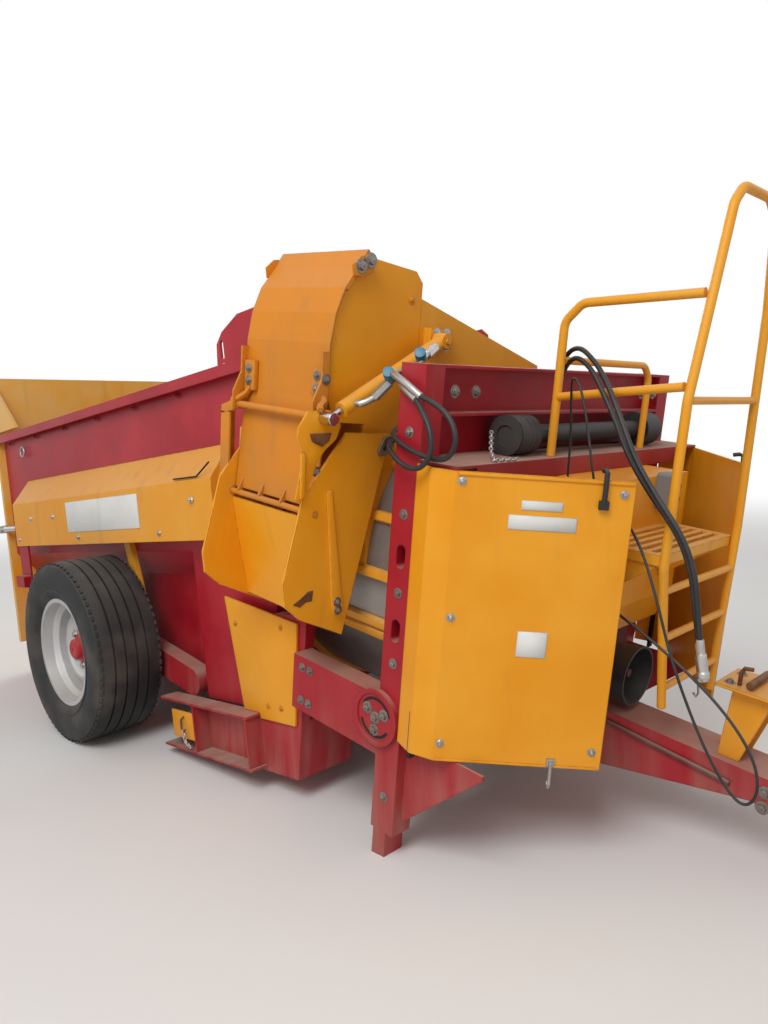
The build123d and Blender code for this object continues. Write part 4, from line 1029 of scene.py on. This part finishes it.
@dataclass
class Tub(Assembly):
    """The bale tub: side guards, ear, skirt, sill, step, tailgate and lamps."""

    pitch: ClassVar[Pitch] = TUB
    painted: ClassVar[dict[Finish, Sequence[str]]] = {
        Finish.RED: (*pair("tub_side"), "tub_front_wall", *pair("ear_plate")),
        Finish.RED_DUSTY: ("tub_floor", "beater_lower", "beater_upper"),
        Finish.RED_BEAM: (*pair("sill"), *pair("wheel_arm"), *pair("gate_barrel"), *pair("rear_lamp")),
        Finish.YELLOW_WORN: (*pair("side_guard"), *pair("wheel_strut")),
        Finish.YELLOW_GATE: ("tailgate",),
        Finish.CHROME: pair("gate_rod"),
        Finish.STEEL: ("floor_conveyor",),
    }
    guard_face: float = 950.2
    wall_face: float = 832.0
    ear_face: float = 820.6
    skirt_back: float = 860.4
    skirt_face: float = 872.4
    seam: float = 7.0

    def dress_guards(self) -> None:
        """Painted shade in the hatch seams, the hatch knob, blank plates and bolts of the side guards."""
        face = self.guard_face
        rows = ((1479, (-3230, -2860)), (1340, (-3480, -2500, -1500, -1010)))
        heads = [(x, face, z) for z, row in rows for x in row]
        for side, sign in SIDES:
            # painted shade: near-black strips on the guard face stand in for the shade inside the hatch seams
            seams = self.blank(f"guard_seam_shade_{side}", Finish.GAP_SHADE, Slot.YELLOW, sign)
            for (x, z), (x_end, z_end) in (((-1302, 1611), (-1084, 1609)), ((-1084, 1609), (-962, 1668))):
                outline = [(x, z), (x_end, z_end), (x_end, z_end - self.seam), (x, z - self.seam)]
                seams.prism(Plane.ELEVATION, outline, face - 5.2, face + 0.8)
            seams.finished(bevel=0.0)
            plates = self.blank(f"blank_plates_{side}", Finish.PLATE, Slot.YELLOW, sign)
            plates.box((-2640, face, 1372), (-1700, face + 2.8, 1560)).finished()
            knob = self.blank(f"hatch_knob_{side}", Finish.ZINC, Slot.IRON, sign)
            profile = [(2, 0), (17, 0), (17, 5), (11, 8), (11, 20), (2, 20)]
            knob.lathe(profile, (-1144, face, 1495), Plane.ELEVATION, 24).finished()
            self.bolt(f"guard_bolts_{side}", heads, OUTBOARD, 19, Finish.ZINC, sign)

    def dress_walls(self) -> None:
        """Rope ring, ear ring and upper bolts of the tub walls."""
        ring_path = [(x, self.wall_face + 10, z) for x, z in circle(34, -3535, 1960, turns(24))]
        heads = [(x, self.wall_face, 2040) for x in range(-3780, -1379, 480)]
        for side, sign in SIDES:
            ring = self.blank(f"rope_ring_{side}", Finish.ZINC, Slot.IRON, sign)
            ring.tube(ring_path + ring_path[:1], 6, 10).finished(bevel=0.0)
            ear_ring = self.blank(f"ear_ring_{side}", Finish.PLATE, Slot.RED, sign)
            ear_ring.lathe(band(11, 22, 0, 5), (-930, self.ear_face, 2105), Plane.ELEVATION, 28)
            ear_ring.finished(bevel=0.0)
            self.bolt(f"rim_bolts_{side}", heads, OUTBOARD, 15, Finish.RED, sign)

    def dress_steps(self) -> None:
        """Bracket, hook and chain of the steps under the sills."""
        hook_path = [
            (-1470, 946, 372), (-1470, 964, 362), (-1470, 966, 318), (-1452, 966, 300), (-1434, 966, 314)]
        chain_path = [(-1452, 966, 300), (-1440, 968, 250), (-1405, 956, 214)]
        for side, sign in SIDES:
            bracket = self.blank(f"step_bracket_{side}", Finish.YELLOW_WORN, Slot.YELLOW, sign)
            bracket.box((-1590, 938, 256), (-1370, 946, 400)).finished()
            hook = self.blank(f"step_hook_{side}", Finish.RUSTY, Slot.IRON, sign)
            hook.tube(hook_path, 6, 10).finished(bevel=0.0)
            self.chain(f"step_chain_{side}", chain_path, sign)

    def dress_skirts(self) -> None:
        """The full-width skirt plates and their bolts."""
        outline = [(-1075, 1010), (-520, 905), (-610, 430), (-877, 430), (-877, 457), (-1005, 457)]
        heads = [(x, self.skirt_face + 0.2, z) for x, z in (
            (-1000, 880), (-640, 880), (-800, 500), (-700, 500))]
        for side, sign in SIDES:
            skirt = self.blank(f"skirt_plate_{side}", Finish.YELLOW, Slot.YELLOW, sign)
            skirt.prism(Plane.ELEVATION, outline, self.skirt_back, self.skirt_face)
            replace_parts(skirt.finished(), f"skirt_panel_{side}")
            self.bolt(f"skirt_bolts_{side}", heads, OUTBOARD, 15, Finish.YELLOW, sign)

    def dress_lamps(self) -> None:
        """Ribbed lenses on the lamp blocks."""
        for side, sign in SIDES:
            for label, finish, low in (
                    ("red", Finish.LENS_RED, 1012), ("amber", Finish.LENS_AMBER, 1052)):
                lens = self.blank(f"{label}_lens_{side}", finish, Slot.LAMP, sign)
                lens.box((-3505, 945, low), (-3498, 980, low + 36)).finished(bevel=2.5)

    def dress(self) -> None:
        """Dress the tub."""
        self.dress_guards()
        self.dress_walls()
        self.dress_steps()
        self.dress_skirts()
        self.dress_lamps()


@dataclass
class Module(Assembly):
    """The front module: posts, beams, fan, guards, deck, drawbar, ladder and rails."""

    pitch: ClassVar[Pitch] = FRONT
    painted: ClassVar[dict[Finish, Sequence[str]]] = {
        Finish.RED_BEAM: (*pair("front_post"), "lower_beam", "drawbar", "upper_beam"),
        Finish.RED_DUSTY: ("deck",),
        Finish.DRUM: ("fan_housing", "fan_rotor"),
        Finish.YELLOW_HOOD: ("fan_hood",),
        Finish.YELLOW: (*pair("front_guard"), "transmission_cover"),
        Finish.YELLOW_TUBE: ("ladder", "hand_rail"),
        Finish.YELLOW_WORN: ("platform", "drawbar_stand"),
        Finish.IRON: ("gearbox",),
        Finish.BOOT: ("pto_guard", "stored_drive_shaft"),
        Finish.GREY: ("control_box",),
    }
    fan_z: float = 1090.0
    rib_angles: Sequence[float] = (-214.0, -197.0, -180.0, -164.0, -160.0, -16.0, 16.0)
    disc_face: float = 936.2
    post_face: float = 920.0
    guard_start: Flat = (300.0, 932.3)
    guard_run: Flat = (433.0, 432.3)
    guard_facing: Point = (0.7075, 0.7067, 0.0)
    plate_back: float = 0.3

    def dress_fan(self) -> None:
        """Yellow ribs and end flanges round the fan housing, and the box between it and the side guard."""
        ribs = self.blank("drum_ribs", Finish.YELLOW_WORN, Slot.YELLOW)
        for angle in self.rib_angles:
            cosine, sine = math.cos(math.radians(angle)), math.sin(math.radians(angle))
            outline = [(radius * cosine - spread * sine, self.fan_z + radius * sine + spread * cosine)
                       for radius, spread in ((777, -24), (777, 24), (800, 18), (800, -18))]
            ribs.prism(Plane.SECTION, outline, -760, -30)
        ribs.finished()
        flanges = self.blank("drum_flanges", Finish.YELLOW_WORN, Slot.YELLOW)
        for start in (-30, -789):
            flanges.lathe(band(776.5, 806, start, start + 10), (0, 0, self.fan_z), Plane.SECTION, 96)
        flanges.finished(bevel=0.0)
        box = self.blank("guard_end_box", Finish.YELLOW_WORN, Slot.YELLOW)
        outline = [(-833, 1640), (-900, 1640), (-948, 1600), (-948, 1480), (-833, 1440)]
        box.prism(Plane.SECTION, outline, -944, -788).finished(bevel=3.0)

    def dress_posts(self) -> None:
        """Pivot discs with painted shade in their slots, and the bolts of posts and beams."""
        face = self.disc_face
        hub = [(0.0, face - 0.2, PIVOT_Z)]
        hub += [(x, face - 0.2, z) for x, z in circle(52, 0, PIVOT_Z, (0.5, 2.6, 4.7))]
        posts = [(60, self.post_face, z) for z in (1700, 1400, 1100, 820, 260)]
        beams = [(x, self.post_face + 0.5, z) for x in (-470, -420) for z in (470, 620)]
        for side, sign in SIDES:
            disc = self.blank(f"pivot_disc_{side}", Finish.RED_BEAM, Slot.RED, sign)
            disc.lathe(band(96, 116, face, face + 4.8), (0, 0, PIVOT_Z), Plane.ELEVATION, 48).finished()
            for start in (20, 200):
                arc = [math.radians(start + 13 * k) for k in range(11)]
                outline = circle(84, 0, PIVOT_Z, arc) + circle(72, 0, PIVOT_Z, reversed(arc))
                # painted shade: a near-black arc sheet stands in for the shade inside the disc's slot
                slot = self.blank(f"disc_slot_shade_{side}_{start}", Finish.GAP_SHADE, Slot.RED, sign)
                slot.prism(Plane.ELEVATION, outline, face, face + 0.8).finished(bevel=0.0)
            self.bolt(f"pivot_bolts_{side}", hub, OUTBOARD, 26, sign=sign)
            self.bolt(f"post_bolts_{side}", posts, OUTBOARD, 22, sign=sign)
            self.bolt(f"beam_bolts_{side}", beams, OUTBOARD, 22, sign=sign)
        self.bolt("upper_beam_bolts", [(121, y, 1850) for y in (-760, -640, 640, 760)], FORWARD, 26)

    def guard_spot(self, along: float, z: float, proud: float) -> Point:
        """Find a point on a front guard's oblique face.

        Args:
            along: How far along the face from its rear edge.
            z: Its height.
            proud: How far it stands out of the face.

        Returns:
            The point, drawn outboard.
        """
        run = math.hypot(*self.guard_run)
        forward, inboard = self.guard_run[0] / run, self.guard_run[1] / run
        x, y = self.guard_start
        return x + forward * along + inboard * proud, y - inboard * along + forward * proud, z

    def oblique(self, blank: Blank, low: Flat, high: Flat, proud: float) -> None:
        """Add a plate on the oblique face.

        Args:
            blank: The piece that it belongs to.
            low: Its low corner, along the face and up.
            high: Its high corner.
            proud: How far it stands out.
        """
        corners = ((low[0], low[1]), (high[0], low[1]), (high[0], high[1]), (low[0], high[1]))
        rings = [[self.guard_spot(along, z, out) for along, z in corners] for out in (self.plate_back, proud)]
        blank.loft([[blank.sided(*spot) for spot in ring] for ring in rings])

    def dress_guards(self) -> None:
        """Blank plates, folded edges, hook latches, painted shade in the slits, and bolts of the front
        guards.
        """
        heads = [self.guard_spot(along, z, 0.5) for along, z in (
            (22, 1566), (575, 1554), (22, 1080), (575, 600), (22, 600))]
        latch_path = [self.guard_spot(430, z, proud) for z, proud in (
            (560, 8), (500, 9), (470, 14), (452, 4), (470, -10))]
        strap_path = [self.guard_spot(505, z, proud) for z, proud in (
            (1628, -30), (1632, -6), (1626, 12), (1590, 15), (1540, 14), (1516, 13))]
        for side, sign in SIDES:
            plates = self.blank(f"guard_plates_{side}", Finish.PLATE, Slot.YELLOW, sign)
            for low, high in (
                    ((230, 1480), (372, 1514)), ((190, 1410), (425, 1462)), ((262, 950), (368, 1046))):
                self.oblique(plates, low, high, 2.0)
            plates.finished(bevel=0.5)
            fold = self.blank(f"guard_fold_{side}", Finish.YELLOW, Slot.YELLOW, sign)
            self.oblique(fold, (6, 1586), (604, 1599), 5.0)
            self.oblique(fold, (6, 531), (604, 541), 4.0)
            fold.finished(bevel=1.5)
            latch = self.blank(f"guard_latch_{side}", Finish.ZINC, Slot.IRON, sign).tube(latch_path, 6, 10)
            self.oblique(latch, (415, 535), (445, 566), 6.0)
            latch.finished(bevel=0.0)
            # painted shade: a near-black box stands in for the shade inside the guard's slit
            slit = self.blank(f"guard_slit_shade_{side}", Finish.GAP_SHADE, Slot.YELLOW, sign)
            slit.box((196, 925, 505), (210, 958.3, 690)).finished(bevel=0.0)
            self.bolt(f"guard_front_bolts_{side}", heads, self.guard_facing, 17, Finish.ZINC, sign)
            strap = self.blank(f"rubber_hook_{side}", Finish.BOOT, Slot.BLACK, sign).tube(strap_path, 9, 12)
            self.oblique(strap, (490, 1500), (522, 1530), 20.0)
            strap.finished(bevel=0.0)

    def dress_deck(self) -> None:
        """Driveline boot, grey sleeve and chain on the deck."""
        sleeve = self.blank("grey_sleeve", Finish.GREY, Slot.GREY)
        sleeve.tube([(90, -330, 1664), (90, 560, 1664)], 30, 20).finished(bevel=0.0)
        boot = self.blank("boot_rings", Finish.BOOT, Slot.BLACK)
        for y in (-500, -470, -430, -400):
            boot.lathe(band(60, 79, -6, 6), (175, y, 1690.3), Plane.ELEVATION, 36)
        boot.lathe(band(40, 79, -14, -2), (175, -494, 1690.3), Plane.ELEVATION, 36).finished(bevel=0.0)
        self.chain("deck_chain", [(150, -560, 1700), (215, -640, 1640), (280, -700, 1618), (292, -560, 1618)])

    def dress_drawbar(self) -> None:
        """Shaft rest rod, pin, hitch bolts and the stand's fixings."""
        rod = self.blank("rest_rod", Finish.IRON, Slot.RED)
        rod.tube([(428, -108, 535), (1057, -108, 482)], 11, 12).finished(bevel=0.0)
        pin = self.blank("stand_pin", Finish.RUSTY, Slot.IRON)
        pin.tube([(1065, -90, 870), (1065, 90, 870)], 14, 14)
        pin.tube([(1020, -62, 852), (1020, -62, 900), (1030, -62, 920), (1060, -62, 925)], 8, 10)
        pin.finished(bevel=0.0)
        self.bolt("stand_bolts", [(x, y, 850.5) for x in (985, 1150) for y in (-60, 60)], UP, 22)
        self.bolt("eye_bolts", [(x, -100.5, z) for z in (500, 440) for x in (1180, 1300)], RIGHT, 27)

    def dress_control(self) -> None:
        """Lid, switch and plugs of the control box."""
        lid = self.blank("control_lid", Finish.GREY, Slot.GREY)
        lid.box((560.3, 140, 1425), (568, 220, 1535)).finished(bevel=3.0)
        knob = self.blank("control_knob", Finish.BOOT, Slot.BLACK)
        knob.lathe([(2, 0), (20, 0), (18, 12), (2, 12)], (568.2, 180, 1505), Plane.SECTION, 24)
        for y in (165, 196):
            knob.lathe(band(2, 12, 0, 8), (568.2, y, 1450), Plane.SECTION, 20)
        knob.finished(bevel=1.0)

    def dress(self) -> None:
        """Dress the module."""
        self.dress_fan()
        self.dress_posts()
        self.dress_guards()
        self.dress_deck()
        self.dress_drawbar()
        self.dress_control()


@dataclass
class Chute(Assembly):
    """The spout: its duct, the hinged skin, the counter-turning flap and the cylinder that drives them."""

    pitch: ClassVar[Pitch] = FRONT
    painted: ClassVar[dict[Finish, Sequence[str]]] = {
        Finish.YELLOW: ("chute_duct",),
        Finish.YELLOW_SKIN: ("deflector_skin",),
        Finish.FLAP: ("end_flap",),
        Finish.YELLOW_TUBE: ("chute_barrel",),
        Finish.CHROME: ("chute_rod",),
    }
    cheek: float = -223.6
    knuckle_bar: Flat = (-885.0, 2300.0)

    def face(self, name: str, x: float, spots: Iterable[Flat], flats: float, **given: object) -> None:
        """Bolt a cheek that faces forward, at y and z of each spot."""
        self.bolt(name, [(x, y, z) for y, z in spots], FORWARD, flats, **given)

    def dress_bolts(self) -> None:
        """Bolts of the bracket, duct, skin, flap and linkage."""
        self.face("bracket_bolts", -216.5, ((-500, 2060), (-440, 2060), (-440, 2010)), 24, finish=Finish.ZINC)
        self.face("duct_bolts", -259.5, ((-620, 2180), (-620, 1700)), 19, finish=Finish.YELLOW)
        self.face("skin_bolts", -241.5, ((-1062, 1860), (-1085, 1520)), 22, body="deflector")
        self.face("flap_bolts", -211.5, ((-975, 1000), (-968, 965)), 20, body="flap")
        knuckles = [(-231.8, -926, 2276), (-225.8, *self.knuckle_bar)]
        self.bolt("knuckle_bolts", knuckles, FORWARD, 30, body="deflector")
        straps = [(x, -1072.2, z) for x in (-282, -710) for z in (1824, 1872)]
        self.bolt("strap_bolts", straps, RIGHT, 21, body="deflector")

    def dress_flap(self) -> None:
        """The torn, rusted hole, the rib and the slotted link, with painted shade in its slot, on the end
        flap's cheek.
        """
        hole = self.blank("torn_hole", Finish.RUSTY, Slot.YELLOW, body="flap")
        outline = [
            (-1188, 1023), (-1150, 1042), (-1119, 1063), (-1093, 1064), (-1097, 1022), (-1125, 1024),
            (-1155, 1008)]
        hole.prism(Plane.SECTION, outline, -223.8, -221.5).finished(bevel=0.0)
        rib = self.blank("flap_rib", Finish.FLAP, Slot.YELLOW, body="flap")
        outline = [(-1052, 1440), (-1030, 1452), (-952, 1020), (-930, 954), (-983, 947), (-999, 984)]
        rib.prism(Plane.SECTION, outline, self.cheek, -212).finished(bevel=3.0)
        link = self.blank("slotted_link", Finish.STEEL, Slot.IRON, body="flap")
        outline = [
            (-766, 1640), (-728, 1650), (-708, 1636), (-712, 1606), (-748, 1570), (-786, 1566), (-796, 1588)]
        link.prism(Plane.SECTION, outline, self.cheek, -213).finished(bevel=2.5)
        # painted shade: a near-black sheet stands in for the shade inside the link's slot
        gap = self.blank("link_slot_shade", Finish.GAP_SHADE, Slot.IRON, body="flap")
        outline = [(-752, 1624), (-732, 1628), (-762, 1588), (-776, 1592)]
        gap.prism(Plane.SECTION, outline, -213, -212).finished(bevel=0.0)

    def dress_straps(self) -> None:
        """S-shaped straps and top knuckles of the skin."""
        straps = self.blank("skin_straps", Finish.YELLOW_SKIN, Slot.YELLOW, body="deflector")
        straps.box((-314, -1072, 1800), (-250, -1052.6, 1896))
        straps.box((-742, -1072, 1785), (-672, -1052.6, 1906))
        for path in (
                ((-270, -1064, 1815), (-236, -1074, 1780), (-222, -1104, 1765), (-206, -1112, 1752)),
                ((-705, -1064, 1800), (-722, -1074, 1770), (-745, -1098, 1748), (-778, -1104, 1738))):
            straps.tube(path, 15, 4)
        straps.finished(bevel=3.0)
        knuckles = self.blank("top_knuckles", Finish.YELLOW_SKIN, Slot.YELLOW, body="deflector")
        outline = [
            (-959, 2237), (-966, 2277), (-927, 2312), (-880, 2318), (-857, 2290), (-862, 2258), (-900, 2240)]
        knuckles.prism(Plane.SECTION, outline, -241.6, -232)
        knuckles.prism(Plane.SECTION, outline, -768, -758.4)
        knuckles.tube([(x, *self.knuckle_bar) for x in (-770, -226)], 15, 16).finished(bevel=2.0)

    def dress_cranks(self) -> None:
        """The right-hand crank with its rusty tab, and the left-hand channel."""
        crank = self.blank("right_crank", Finish.FLAP, Slot.YELLOW, body="deflector")
        outline = [
            (-1201, 1692), (-1161, 1750), (-1060, 1752), (-1010, 1727), (-1000, 1690), (-1020, 1643),
            (-1071, 1605), (-1107, 1562), (-1145, 1465), (-1180, 1413), (-1203, 1425), (-1181, 1546),
            (-1185, 1615), (-1205, 1654)]
        crank.prism(Plane.SECTION, outline, self.cheek, -216)
        stiffener = [(-1190, 1600), (-1172, 1600), (-1168, 1440), (-1186, 1430)]
        crank.prism(Plane.SECTION, stiffener, -216, -204).finished()
        tab = self.blank("crank_tab", Finish.RUSTY, Slot.YELLOW, body="deflector")
        outline = [(-1150, 1668), (-1050, 1668), (-1058, 1640), (-1090, 1618), (-1140, 1640)]
        tab.prism(Plane.SECTION, outline, -215.8, -210).finished()
        channel = self.blank("left_channel", Finish.YELLOW_SKIN, Slot.YELLOW, body="deflector")
        channel.box((-829, -1122, 1385), (-817, -1060, 1690)).box((-829, -1122, 1385), (-768, -1112, 1690))
        channel.prism(Plane.ELEVATION, [(-829, 1680), (-829, 1715), (-745, 1745), (-745, 1700)], -1122, -1108)
        channel.tube([(-800, -1100, 1368), (-760, -1100, 1368)], 17, 14).finished()

    def dress_ram(self) -> None:
        """Elbows, valves with blue caps and hose sleeves on the cylinder."""
        fittings = self.blank("ram_fittings", Finish.ZINC, Slot.CHROME, body="chute_ram")
        for radius, sides, path in (
                (13, 12, ((-158, -985, 1782), (-135, -985, 1782), (-122, -965, 1792), (-108, -932, 1812))),
                (19, 6, ((-112, -938, 1808), (-70, -905, 1868))),
                (12, 12, ((-74, -907, 1862), (-52, -890, 1893), (-20, -905, 1880))),
                (14, 12, ((-24, -902, 1880), (40, -946, 1858), (112, -953, 1820))),
                (13, 12, ((-158, -590, 1988), (-120, -610, 2005), (-90, -650, 2000))),
                (19, 6, ((-95, -645, 2002), (-40, -750, 1972))),
                (12, 12, ((-42, -745, 1974), (-22, -800, 1950), (-18, -878, 1905))),
                (14, 12, ((-18, -872, 1908), (-14, -944, 1900), (70, -958, 1868), (130, -950, 1832)))):
            fittings.tube(path, radius, sides)
        fittings.finished(bevel=0.0, smooth=40)
        caps = self.blank("valve_caps", Finish.CAP, Slot.BLACK, body="chute_ram")
        for x, y, z in ((-62, -925, 1893), (-30, -800, 1968)):
            caps.tube([(x, y + 10, z - 6), (x + 22, y - 22, z + 14)], 21, 20)
        caps.finished(bevel=2.0)

    def dress(self) -> None:
        """Dress the chute."""
        self.dress_bolts()
        self.dress_flap()
        self.dress_straps()
        self.dress_cranks()
        self.dress_ram()


@dataclass(frozen=True)
class Line:
    """One hose or cable: its control points on the level drawing.

    split holds two points, where one end rides on the cylinder; a line that has them is kept as a plain mesh.
    """

    name: str
    diameter: float
    length: float
    path: tuple[Point, ...]
    far_end: str = "object"
    split: tuple[Point, Point] | None = None


LINES = (
    Line("ram_hose_near", 19.0, 0.93, (
        (108, -953, 1822), (165, -972, 1782), (218, -985, 1722), (232, -988, 1650), (190, -988, 1592),
        (120, -986, 1584), (50, -980, 1612), (-10, -955, 1640), (-62, -880, 1656), (-90, -770, 1660),
        (-98, -650, 1640), (-95, -560, 1595)), split=((110, -950, 1815), (190, -985, 1600))),
    Line("ram_hose_far", 19.0, 1.03, (
        (126, -951, 1834), (200, -956, 1818), (278, -960, 1775), (316, -962, 1705), (290, -964, 1640),
        (225, -960, 1626), (150, -956, 1634), (75, -952, 1650), (5, -942, 1676), (-60, -880, 1692),
        (-112, -770, 1700), (-130, -650, 1672), (-132, -560, 1610)),
        split=((130, -950, 1830), (280, -962, 1640))),
    Line("tractor_hose_one", 19.0, 1.64, (
        (222, -250, 1600), (222, -252, 1760), (236, -262, 1930), (300, -285, 2010), (395, -318, 1970),
        (475, -352, 1890), (560, -378, 1785), (630, -390, 1668), (735, -396, 1548), (850, -402, 1440),
        (915, -404, 1330), (950, -404, 1200), (985, -404, 1060)), far_end="connector"),
    Line("tractor_hose_two", 19.0, 1.74, (
        (190, -215, 1600), (190, -218, 1760), (205, -230, 1975), (290, -255, 2052), (420, -318, 1985),
        (505, -360, 1905), (600, -410, 1790), (672, -425, 1672), (775, -432, 1552), (885, -436, 1440),
        (945, -438, 1330), (975, -438, 1200), (1000, -438, 1085)), far_end="connector"),
    Line("lamp_cable", 10.0, 2.27, (
        (480, -296, 1470), (540, -330, 1478), (630, -390, 1462), (730, -425, 1385), (820, -442, 1230),
        (920, -452, 1000), (1050, -455, 780), (1150, -454, 650), (1225, -452, 600), (1262, -450, 670),
        (1225, -448, 785), (1110, -446, 900), (940, -446, 1005), (770, -430, 1075), (640, -390, 1105),
        (555, -345, 1108), (496, -296, 1105))),
    Line("tube_to_guard", 9.0, 1.02, (
        (330, -280, 1532), (331, -290, 1700), (338, -336, 1860), (368, -388, 1935), (422, -414, 1900),
        (470, -430, 1790), (510, -438, 1660), (532, -428, 1560), (524, -380, 1480), (490, -296, 1440))),
)


@dataclass
class Hoses(Assembly):
    """The cylinder's two hoses, the tractor's hoses over the rail, and the cables before the ladder."""

    pitch: ClassVar[Pitch] = FRONT
    spline_steps: int = 12
    rim_steps: int = 4

    def couple(self, line: Line) -> Object:
        """Put the quick coupling on a tractor hose's end.

        Args:
            line: The hose.

        Returns:
            The coupling.
        """
        x, y, z = line.path[-1]
        coupling = self.blank(line.name + "_coupling", Finish.ZINC, Slot.CHROME)
        coupling.tube([(x - 4, y, z + 22), (x + 8, y, z - 26)], 14, 6)
        coupling.tube([(x + 7, y, z - 24), (x + 24, y, z - 86)], 17, 20)
        return coupling.tube([(x + 23, y, z - 84), (x + 28, y, z - 104)], 20, 20).finished(bevel=1.5)

    def lay(self, line: Line) -> None:
        """Lay one line on its NURBS spline.

        Args:
            line: Its name, sizes and control points.
        """
        curve = bpy.data.curves.new(line.name, "CURVE")
        curve.dimensions = "3D"
        spline = curve.splines.new("NURBS")
        spline.points.add(len(line.path) - 1)
        for point, spot in zip(spline.points, line.path):
            point.co = (*self.pitch.place(*spot), 1.0)
        spline.order_u = 3
        spline.use_endpoint_u = True
        spline.resolution_u = self.spline_steps
        piece = shown(line.name, curve)
        centre = [tuple(v.co) for v in evaluated(piece).vertices] if line.split else None
        curve.bevel_depth = line.diameter / 2 / METRE
        curve.bevel_resolution = self.rim_steps
        curve.use_fill_caps = True
        curve.materials.append(Finish.HOSE.material())
        if line.split:
            tube = evaluated(piece)
            bpy.data.objects.remove(piece)
            piece = shown(line.name, tube)
            start, end = (tuple(self.pitch.place(*spot)) for spot in line.split)
            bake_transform(piece)
        else:
            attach(piece, "root")
        ends = [self.couple(line)] if line.far_end == "connector" else []
        tuple(self.pitch.place(*line.path[0]))
        LOG.info("%s is %.2f m long", line.name, line.length)

    def dress(self) -> None:
        """Lay every line."""
        for line in LINES:
            self.lay(line)


@dataclass
class Studio:
    """Camera at the photograph's place, pale floor and soft lights, in metres."""

    eye: Point = (3.389, -2.967, 1.672)
    right: Point = (0.7044, 0.7084, -0.0437)
    down: Point = (0.0385, -0.0997, -0.9943)
    ahead: Point = (-0.7088, 0.6987, -0.0974)
    lens: float = 27.6
    film: float = 36.0
    sky: float = 0.46
    floor_half: float = 60.0
    fade: Flat = (5.0, 16.0)

    def camera(self) -> None:
        """Stand the camera."""
        data = bpy.data.cameras.new("photo_camera")
        data.lens = self.lens
        data.sensor_fit = "VERTICAL"
        data.sensor_height = self.film
        data.clip_start = 0.05
        camera = shown("photo_camera", data)
        turn = Matrix((Vector(self.right), -Vector(self.down), -Vector(self.ahead))).transposed().to_4x4()
        camera.matrix_world = Matrix.Translation(Vector(self.eye)) @ turn
        bpy.context.scene.camera = camera

    def floor(self) -> None:
        """Lay the pale floor, which fades into the white behind."""
        half = self.floor_half
        data = bpy.data.meshes.new("floor")
        corners = [(-half, -half, 0), (half, -half, 0), (half, half, 0), (-half, half, 0)]
        data.from_pydata(corners, [], [(0, 1, 2, 3)])
        shade = Shade("pale_floor")
        pale = shade.mix(shade.noise(0.8, 3.0), (0.78, 0.77, 0.75), (0.84, 0.83, 0.81))
        shade.feed(shade.shader.inputs["Base Color"], pale)
        shade.feed(shade.shader.inputs["Roughness"], 0.9)
        far = shade.node("ShaderNodeVectorMath", {0: shade.place}, operation="LENGTH").outputs["Value"]
        seen = shade.node("ShaderNodeLightPath").outputs["Is Camera Ray"]
        glow = shade.node("ShaderNodeEmission", {"Color": (1.0, 1.0, 1.0), "Strength": 1.0}).outputs[0]
        faded = Value(shade, far).ramp(*self.fade) * seen
        both = shade.node("ShaderNodeMixShader", {0: faded, 1: shade.shader.outputs[0], 2: glow})
        shade.feed(shade.output.inputs["Surface"], both.outputs[0])
        data.materials.append(shade.material)
        shown("floor", data)

    def lamp(self, name: str, spot: Point, aim: Point, size: float, power: float) -> None:
        """Hang one soft lamp.

        Args:
            name: Its name.
            spot: Where it hangs.
            aim: What it points at.
            size: Its side.
            power: Its power.
        """
        data = bpy.data.lights.new(name, "AREA")
        data.shape = "SQUARE"
        data.size = size
        data.energy = power
        lamp = shown(name, data)
        lamp.location = spot
        lamp.rotation_euler = (Vector(aim) - Vector(spot)).to_track_quat("-Z", "Y").to_euler()

    def world(self) -> None:
        """White where the camera, a gloss or a glass looks, and a soft sky for everything else."""
        world = bpy.data.worlds.new("studio_world")
        bpy.context.scene.world = world
        world.use_nodes = True
        sky = Graph(world.node_tree)
        sky.tree.nodes.clear()
        rays = sky.node("ShaderNodeLightPath").outputs
        direct = Value(sky, rays["Is Camera Ray"])
        for label in ("Is Glossy Ray", "Is Transmission Ray"):
            direct = direct.maths("ADD", direct, rays[label], clamp=True)
        levels = {"Value": direct, "To Min": self.sky, "To Max": 1.0}
        strength = sky.node("ShaderNodeMapRange", levels).outputs[0]
        background = sky.node("ShaderNodeBackground", {"Color": (1.0, 1.0, 1.0), "Strength": strength})
        sky.node("ShaderNodeOutputWorld", {"Surface": background.outputs[0]})

    def build(self) -> None:
        """Set the studio up."""
        self.camera()
        self.floor()
        self.world()
        self.lamp("key", (3.5, -6.0, 7.0), (0.6, 0.0, 0.9), size=4.0, power=430.0)
        self.lamp("fill", (-5.0, 4.5, 5.0), (-0.5, 0.0, 1.0), size=5.0, power=180.0)
        bpy.context.scene.view_settings.view_transform = "Standard"


def main() -> None:
    """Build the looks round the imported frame."""
    logging.basicConfig(level=logging.INFO, format="%(message)s")
    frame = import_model()
    machine = Machine(frame["nodes"], Bolts(), Chains())
    Studio().build()
    for assembly in (Wheels, Tub, Module, Chute, Hoses):
        assembly(machine).build()


if __name__ == "__main__":
    main()
